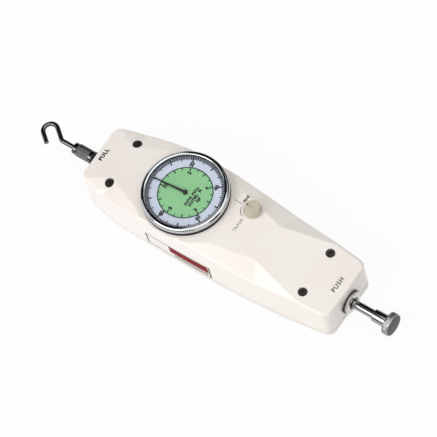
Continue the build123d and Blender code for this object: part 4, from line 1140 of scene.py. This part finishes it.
@dataclass
class HousingPrinting:
    """Plain function words on the housing's front and the peak knob's marks."""

    drape: Drape
    inward: Point = (0.0, 0.0, -1.0)
    ink_lift: float = 0.03
    ink_thick: float = 0.05
    words: tuple[Word, ...] = (
        Word("word_pull", "PULL", (-90.3, -0.7), 2.6, 1.15, BLACK_INK, 0.18),
        Word("word_push", "PUSH", (88.1, 0.3), 2.9, 1.2, GREY_INK, 0.10),
        Word("word_peak", "PEAK", (8.0, 17.6), 1.7, 1.0, GREY_INK, 0.10),
        Word("word_track", "TRACK", (13.4, 0.1), 1.9, 1.15, GREY_INK, 0.0),
    )
    knob: Pair = (16.0, 13.3)
    lead_start: float = 1.6
    lead_step: float = 0.85
    lead_points: int = 9
    lead_width: float = 0.32
    arc_radii: Pair = (7.85, 8.25)
    arc_start_deg: float = 192.0
    arc_step_deg: float = 4.0
    arc_points: int = 13

    def build(self) -> None:
        """Print the words and the knob's marks."""
        for word in self.words:
            spot = (*word.centre, CLEAR)
            mesh = text_mesh(word.words, word.height, spot, word.spacing, self.ink_thick, word.bold)
            self._print(word.piece, mesh, word.ink)
        depth = (0.0, 0.0, self.ink_thick)
        plates = [plate_mesh("mark", grid, depth) for grid in (self._lead(), self._arc())]
        self._print("knob_marks", joined("knob_marks", plates), GREY_INK)

    def _print(self, name: str, mesh: Mesh, ink: Finish) -> None:
        """Lay a drawing on the front and make it a piece."""
        self.drape.lay(mesh, self.inward, self.ink_lift)
        add_piece(name, mesh, ink, Body.HOUSING, Slot.HOUSING)

    def _lead(self) -> list[list[Point]]:
        """Grid of the lead line that runs along X to the knob."""
        half = self.lead_width / 2
        stations = [self.lead_start + self.lead_step * step for step in range(self.lead_points)]
        return [[(x, self.knob[1] + side, CLEAR) for x in stations] for side in (-half, half)]

    def _arc(self) -> list[list[Point]]:
        """Grid of the arc that shows the knob's travel."""
        turns = [self.arc_start_deg + self.arc_step_deg * step for step in range(self.arc_points)]
        ways = [(math.cos(math.radians(turn)), math.sin(math.radians(turn))) for turn in turns]
        x, y = self.knob
        return [[(x + r * c, y + r * s, CLEAR) for c, s in ways] for r in self.arc_radii]


@dataclass
class SideLabel:
    """Bare label on the side wall: white face, dark frame, one red band and one ruled line."""

    drape: Drape
    inward: Point = (0.0, 1.0, 0.0)
    x: Pair = (-42.0, 7.4)
    z: Pair = (7.5, 21.4)
    face_thick: float = 0.06
    face_lift: float = 0.04
    ink_thick: float = 0.04
    ink_lift: float = 0.10
    frame_width: float = 0.5
    frame_end_width: float = 0.95
    # Insets from the label's left and right ends.
    band_inset: Pair = (18.0, 1.6)
    rule_inset: Pair = (21.0, 2.4)
    # Distances of the band below the label's top and of the rule above its foot.
    band_below: Pair = (9.0, 1.0)
    rule_above: Pair = (2.0, 3.3)
    # Widest spacing of the points that follow the wall, along X and along Z.
    pitch: Pair = (1.5, 3.0)

    def build(self) -> None:
        """Make the face, the frame with its ruled line, and the band."""
        (x0, x1), (z0, z1) = self.x, self.z
        w, end = self.frame_width, self.frame_end_width
        face = self._panel((x0, x1), (z0, z1), self.face_thick, self.face_lift)
        add_piece("side_label", face, LABEL_FILM, Body.HOUSING, Slot.HOUSING)
        rule_x = (x0 + self.rule_inset[0], x1 - self.rule_inset[1])
        rule_z = (z0 + self.rule_above[0], z0 + self.rule_above[1])
        bars = [
            ((x0, x1), (z0, z0 + w)),
            ((x0, x1), (z1 - w, z1)),
            ((x0, x0 + end), (z0 + w, z1 - w)),
            ((x1 - end, x1), (z0 + w, z1 - w)),
            (rule_x, rule_z),
        ]
        panels = [self._panel(*bar, self.ink_thick, self.ink_lift) for bar in bars]
        frame = joined("side_label_frame", panels)
        add_piece("side_label_frame", frame, BLACK_INK, Body.HOUSING, Slot.HOUSING)
        band_x = (x0 + self.band_inset[0], x1 - self.band_inset[1])
        band_z = (z1 - self.band_below[0], z1 - self.band_below[1])
        band = self._panel(band_x, band_z, self.ink_thick, self.ink_lift)
        add_piece("side_label_band", band, RED_INK, Body.HOUSING, Slot.HOUSING)

    def _panel(self, x: Pair, z: Pair, thick: float, lift: float) -> Mesh:
        """Make a panel that lies on the side wall.

        Args:
            x: its left and right end.
            z: its foot and top.
            thick: its thickness.
            lift: height of its middle above the wall.

        Returns:
            The mesh, in metres.
        """
        columns = max(2, int((x[1] - x[0]) / self.pitch[0]))
        rows = max(1, int((z[1] - z[0]) / self.pitch[1]))
        along = [x[0] + (x[1] - x[0]) * i / columns for i in range(columns + 1)]
        up = [z[0] + (z[1] - z[0]) * j / rows for j in range(rows + 1)]
        grid = [[(px, -CLEAR, pz) for pz in up] for px in along]
        return self.drape.lay(plate_mesh("panel", grid, (0.0, -thick, 0.0)), self.inward, lift)


@dataclass
class BezelGroup:
    """The bright ring round the dial, turned with a rolled crown and a stepped throat."""

    lip_r: float = 25.3
    wall_inner_r: float = 26.3
    lens_top: float = 47.0
    crown_r: float = 2.1
    crown_steps: int = 12
    foot: float = 0.4
    # Steps of the throat: distance outside the lip, distance below the top.
    throat: tuple[Pair, ...] = ((0.45, 0.12), (0.1, 0.35))
    groove: Pair = (0.7, 3.5)
    groove_depth: float = 0.55
    band_root: float = 0.2
    band_inset: float = 0.12
    segments: int = 192

    def build(self) -> None:
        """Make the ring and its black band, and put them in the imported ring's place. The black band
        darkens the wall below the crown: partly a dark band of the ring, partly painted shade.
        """
        low, high = box_mm("bezel_ring")
        outer = (high[0] - low[0]) / 2
        bottom, top = low[2], high[2]
        groove_low, groove_high = (bottom + height for height in self.groove)
        deep = outer - self.groove_depth
        section = [(self.wall_inner_r, bottom), (outer - self.foot, bottom), (outer, bottom + self.foot)]
        section += [(outer, groove_low), (deep, groove_low), (deep, groove_high), (outer, groove_high)]
        for step in range(self.crown_steps + 1):
            angle = QUARTER_TURN * step / self.crown_steps
            radius = outer - self.crown_r * (1 - math.cos(angle))
            section.append((radius, top - self.crown_r * (1 - math.sin(angle))))
        section += [(self.lip_r + out, top - down) for out, down in self.throat]
        section += [(self.lip_r, self.lens_top), (self.wall_inner_r, self.lens_top)]
        mesh = lathe_mesh("bezel_crown", section, DIAL, self.segments)
        add_piece("bezel_crown", mesh, BEZEL_CHROME, Body.BEZEL, Slot.BEZEL, "bezel_ring")
        # Black band in the groove: partly a dark band of the ring, partly painted shade on the bezel's
        # lower wall.
        band = block(deep - self.band_root, outer - self.band_inset, groove_low, groove_high)
        mesh = lathe_mesh("bezel_band_and_shade", band, DIAL, self.segments)
        add_piece("bezel_band_and_shade", mesh, POINTER_BLACK, Body.BEZEL, Slot.BEZEL)


@dataclass
class PushHead:
    """Barrel, relief groove and knurled disc with a faced end."""

    knurl: KnurledBarrel
    barrel_r: float = 4.25
    barrel_round: float = 0.35
    relief_depth: float = 0.3
    relief_width: float = 0.5
    overlap: float = 0.2
    disc_r: float = 7.7
    disc_length: float = 4.5
    disc_starts: int = 38
    face_r: float = 7.0
    face_depth: float = 0.6
    face_round: float = 0.25
    face_proud: float = 0.15
    stem_segments: int = 96
    face_segments: int = 128

    def build(self) -> None:
        """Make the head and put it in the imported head's place."""
        (start, *_), (end, *_) = box_mm("push_head")
        disc = end - self.disc_length
        groove_start, inside = disc - self.relief_width, disc + self.overlap
        groove_r = self.barrel_r - self.relief_depth
        section = [(0.0, start), (self.barrel_r, start), (self.barrel_r, groove_start)]
        section += [(groove_r, groove_start), (groove_r, inside), (0.0, inside)]
        stem = self._turned("stem", section, self.barrel_round, self.stem_segments)
        face = block(0.0, self.face_r, end - self.face_depth, end)
        cap = self._turned("cap", face, self.face_round, self.face_segments)
        rim_length = self.disc_length - self.face_proud
        rim = self.knurl.on_shaft("rim", disc, rim_length, self.disc_r, self.disc_starts)
        mesh = joined("push_head_knurled", [stem, rim])
        add_piece("push_head_knurled", mesh, TURNED_NICKEL, Body.SHAFT, Slot.TURNED, "push_head")
        # The faced end is dark by painted reflection.
        add_piece("push_head_face", cap, FACED_STEEL_PAINTED_REFLECTION, Body.SHAFT, Slot.TURNED)

    def _turned(self, name: str, section: list[Pair], rounding: float, segments: int) -> Mesh:
        """Turn a section with rounded corners on the shaft's axis."""
        return lathe_mesh(name, rounded(section, rounding), SHAFT, segments)


@dataclass
class HookEnd:
    """Knurled sleeve that holds the hook, and the lock nut against it."""

    knurl: KnurledBarrel
    grip_r: float = 4.25
    grip_starts: int = 26
    grip_overlap: float = 0.1
    nose: float = 3.1
    nose_r: float = 3.8
    nose_round: float = 0.4
    neck: float = 0.4
    neck_r: float = 3.25
    overlap: float = 0.2
    band: float = 2.4
    band_round: float = 0.3
    segments: int = 96
    nut_corner_r: float = 4.9
    nut_chamfer: Pair = (0.4, 0.24)

    def build(self) -> None:
        """Make the sleeve and the nut."""
        self._sleeve()
        self._lock_nut()

    def _sleeve(self) -> None:
        """Smooth nose, knurled grip and a smooth band against the lock nut."""
        (start, *_), (end, *_) = box_mm("hook_sleeve")
        grip, band = start + self.nose, end - self.band
        neck, inside = grip - self.neck, grip + self.overlap
        nose = [(0.0, start), (self.nose_r, start), (self.nose_r, neck)]
        nose += [(self.neck_r, neck), (self.neck_r, inside), (0.0, inside)]
        collar = rounded(block(0.0, self.grip_r, band, end), self.band_round)
        grip_length = band - grip + self.grip_overlap
        meshes = [
            lathe_mesh("nose", rounded(nose, self.nose_round), SHAFT, self.segments),
            lathe_mesh("band", collar, SHAFT, self.segments),
            self.knurl.on_shaft("grip", grip, grip_length, self.grip_r, self.grip_starts),
        ]
        mesh = joined("hook_sleeve_knurled", meshes)
        # The sleeve takes the hook's dark metal: painted reflection that keeps its knurl from reading
        # pale.
        add_piece("hook_sleeve_knurled", mesh, HOOK_WIRE, Body.SHAFT, Slot.TURNED, "hook_sleeve")

    def _lock_nut(self) -> None:
        """Hexagon nut with its corners turned off at both faces."""
        (start, *_), (end, *_) = box_mm("lock_nut")
        r, (inwards, along) = self.nut_corner_r, self.nut_chamfer
        section = [(0.0, start), (r - inwards, start), (r, start + along)]
        section += [(r, end - along), (r - inwards, end), (0.0, end)]
        mesh = lathe_mesh("lock_nut_chamfered", section, SHAFT, segments=6)
        add_piece("lock_nut_chamfered", mesh, BLACK_OXIDE, Body.SHAFT, Slot.NUT, "lock_nut")


@dataclass
class BushSeal:
    """Thin black ring round the push end's bush, against the housing's end: painted shadow of the gap
    between the bush's flange and the housing.
    """

    wall: float = 0.5
    back: float = 3.6
    straight: float = 1.9
    length: float = 2.1
    edge: float = 0.1

    def build(self) -> None:
        """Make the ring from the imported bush's flange."""
        low, high = box_mm("push_end_bush")
        inner, start = (high[1] - low[1]) / 2, high[0] - self.back
        outer, end = inner + self.wall, start + self.length
        section = [(inner, start), (outer, start), (outer, start + self.straight)]
        section += [(inner + self.edge, end), (inner, end)]
        # Painted shadow: a dark ring where the gap round the flange lies in shade.
        mesh = lathe_mesh("bush_gap_painted_shadow", section, SHAFT, segments=96)
        add_piece("bush_gap_painted_shadow", mesh, SPACER_BLACK, Body.HOUSING, Slot.SPACER)


@dataclass
class PeakKnobDot:
    """The index dot at the end of the peak knob's groove."""

    dot_r: float = 0.55
    dot_out: float = 3.9
    dot_depth: float = 0.5

    def build(self) -> None:
        """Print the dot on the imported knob's top."""
        low, high = box_mm("peak_knob")
        middle = ((low[0] + high[0]) / 2 - self.dot_out, (low[1] + high[1]) / 2, 0.0)
        section = block(0.0, self.dot_r, high[2] - self.dot_depth, high[2])
        mesh = lathe_mesh("knob_dot", section, Axis(middle, Lay.ALONG_Z), segments=32)
        add_piece("knob_index_dot", mesh, BLACK_INK, Body.KNOB, Slot.KNOB)


@dataclass
class LoadSpring:
    """The measuring spring, which shortens as the shaft is pushed in; its copy here keeps the imported
    shape.
    """

    node: bpy.types.Object
    joint: str = "shaft_slide"
    travel: float = 10.0

    def build(self) -> None:
        """Copy the wound wire as a piece of its own in the imported spring's place."""
        mesh = outward(joined("load_spring_wound", [self.node.data.copy()]))
        spring = add_piece(
            "load_spring_wound", mesh, ROLLED_STEEL, Body.HOUSING, Slot.SPRING, "load_spring"
        )
        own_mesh(spring)


# ---- studio ---------------------------------------------------------------------------------
@dataclass(frozen=True)
class Card:
    """A dark card that only reflections see: its place, the way it faces and its size."""

    name: str
    place: Point
    toward: Point
    size: Pair


@dataclass
class Studio:
    """White paper, soft lamps and dark cards, sized in metres, and the camera."""

    # name, place, power in watts
    lamps: tuple[tuple[str, Point, float], ...] = (
        ("key_softbox", (-0.25, -1.05, 0.85), 10.0),
        ("top_softbox", (0.25, 0.15, 1.25), 5.0),
    )
    lamp_size: float = 1.1
    cards: tuple[Card, ...] = (
        Card("dark_card_far", (0.0, 0.85, 0.38), (0.0, -1.0, 0.0), (1.7, 0.76)),
        Card("dark_card_near", (0.0, -0.80, 0.19), (0.0, 1.0, 0.0), (1.6, 0.38)),
        Card("dark_card_pull_end", (-0.85, 0.0, 0.23), (1.0, 0.0, 0.0), (0.46, 1.7)),
        Card("dark_card_push_end", (0.85, 0.0, 0.20), (-1.0, 0.0, 0.0), (0.40, 1.7)),
        Card("dark_card_over", (-0.64, 0.50, 1.52), (0.36, -0.29, -0.88), (1.9, 1.9)),
    )
    fill: float = 0.45
    floor_size: float = 12.0
    floor_z: float = -0.0003
    # The target, a point on the dial's axis, lies at target_px of a square view.
    target: Point = (-26.0, 0.0, 44.0)
    right: Point = (0.813, 0.5614, -0.1516)
    up: Point = (-0.4527, 0.7747, 0.439)
    px_per_mm: float = 1.602
    target_px: Pair = (185.42, 193.0)
    image_px: float = 437.0
    distance: float = 10000.0
    sensor: float = 36.0
    clip: Pair = (0.05, 50.0)

    def build(self) -> None:
        """Set up the view, the world, the floor, the lamps, the cards and the camera."""
        bpy.context.scene.view_settings.view_transform = "Standard"
        self._world()
        low = Matrix.Translation((0.0, 0.0, self.floor_z))
        self._sheet("floor", (self.floor_size, self.floor_size), low, FLOOR_PAPER)
        for name, place, power in self.lamps:
            self._lamp(name, Vector(place), power)
        for card in self.cards:
            self._card(card)
        self._camera()

    def _world(self) -> None:
        """White to the eye and in reflections, a moderate even fill for everything else."""
        world = bpy.data.worlds.new("studio")
        bpy.context.scene.world = world
        world.use_nodes = True
        tree = world.node_tree
        tree.nodes.clear()
        fill, white = (
            add_node(tree, "ShaderNodeBackground", {"Color": WHITE, "Strength": strength}).outputs[0]
            for strength in (self.fill, 1.0)
        )
        mix = add_node(tree, "ShaderNodeMixShader", {"Fac": directly_seen(tree), 1: fill, 2: white})
        out = tree.nodes.new("ShaderNodeOutputWorld")
        tree.links.new(mix.outputs[0], out.inputs["Surface"])

    def _sheet(self, name: str, size: Pair, place: Matrix, finish: Finish) -> bpy.types.Object:
        """Add a flat sheet to the stage.

        Args:
            name: its name.
            size: its width and height, in metres.
            place: matrix that turns it and puts it in its place.
            finish: its finish.

        Returns:
            The sheet's object.
        """
        w, h = size[0] / 2, size[1] / 2
        mesh = bpy.data.meshes.new(name)
        mesh.from_pydata([(-w, -h, 0.0), (w, -h, 0.0), (w, h, 0.0), (-w, h, 0.0)], [], [(0, 1, 2, 3)])
        mesh.transform(place)
        mesh.materials.append(finish.material())
        sheet = bpy.data.objects.new(name, mesh)
        bpy.context.scene.collection.objects.link(sheet)
        return sheet

    def _lamp(self, name: str, place: Vector, power: float) -> None:
        """Add a square soft lamp that faces the object."""
        light = bpy.data.lights.new(name, "AREA")
        light.size = self.lamp_size
        light.energy = power
        lamp = bpy.data.objects.new(name, light)
        bpy.context.scene.collection.objects.link(lamp)
        turn = (-place).to_track_quat("-Z", "Y").to_matrix().to_4x4()
        lamp.matrix_world = Matrix.Translation(place) @ turn

    def _card(self, card: Card) -> None:
        """Add a dark card that only reflections see."""
        turn = Vector(card.toward).to_track_quat("Z", "Y").to_matrix().to_4x4()
        place = Matrix.Translation(Vector(card.place)) @ turn
        sheet = self._sheet(card.name, card.size, place, CARD_FELT)
        sheet.visible_camera = False
        sheet.visible_diffuse = False
        sheet.visible_shadow = False
        sheet.visible_transmission = False

    def _camera(self) -> None:
        """Add the camera: a lens so long that lines stay parallel, high on the label's side."""
        data = bpy.data.cameras.new("camera")
        data.sensor_width = self.sensor
        data.sensor_fit = "HORIZONTAL"
        data.lens = self.px_per_mm * self.sensor * self.distance / self.image_px
        data.clip_start, data.clip_end = self.clip
        camera = bpy.data.objects.new("camera", data)
        bpy.context.scene.collection.objects.link(camera)
        right = Vector(self.right).normalized()
        toward = right.cross(Vector(self.up)).normalized()
        up = toward.cross(right)
        across, down = ((self.image_px / 2 - px) / self.px_per_mm for px in self.target_px)
        middle = Vector(self.target) + right * across - up * down
        matrix = Matrix((right, up, toward)).transposed().to_4x4()
        matrix.translation = (middle + toward * self.distance) * MM
        camera.matrix_world = matrix
        bpy.context.scene.camera = camera


def main() -> None:
    """Build every sub-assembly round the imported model."""
    logging.basicConfig(level=logging.INFO, format="%(name)s %(message)s")
    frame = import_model()
    nodes = frame["nodes"]
    drape, knurl = Drape(nodes["front_housing"]), KnurledBarrel()
    assemblies = (
        PackedNodes(nodes),
        DialPrinting(MarkRing()),
        HousingPrinting(drape),
        SideLabel(drape),
        BezelGroup(),
        PushHead(knurl),
        HookEnd(knurl),
        BushSeal(),
        PeakKnobDot(),
        LoadSpring(nodes["load_spring"]),
        Studio(),
    )
    for assembly in assemblies:
        assembly.build()


if __name__ == "__main__":
    main()
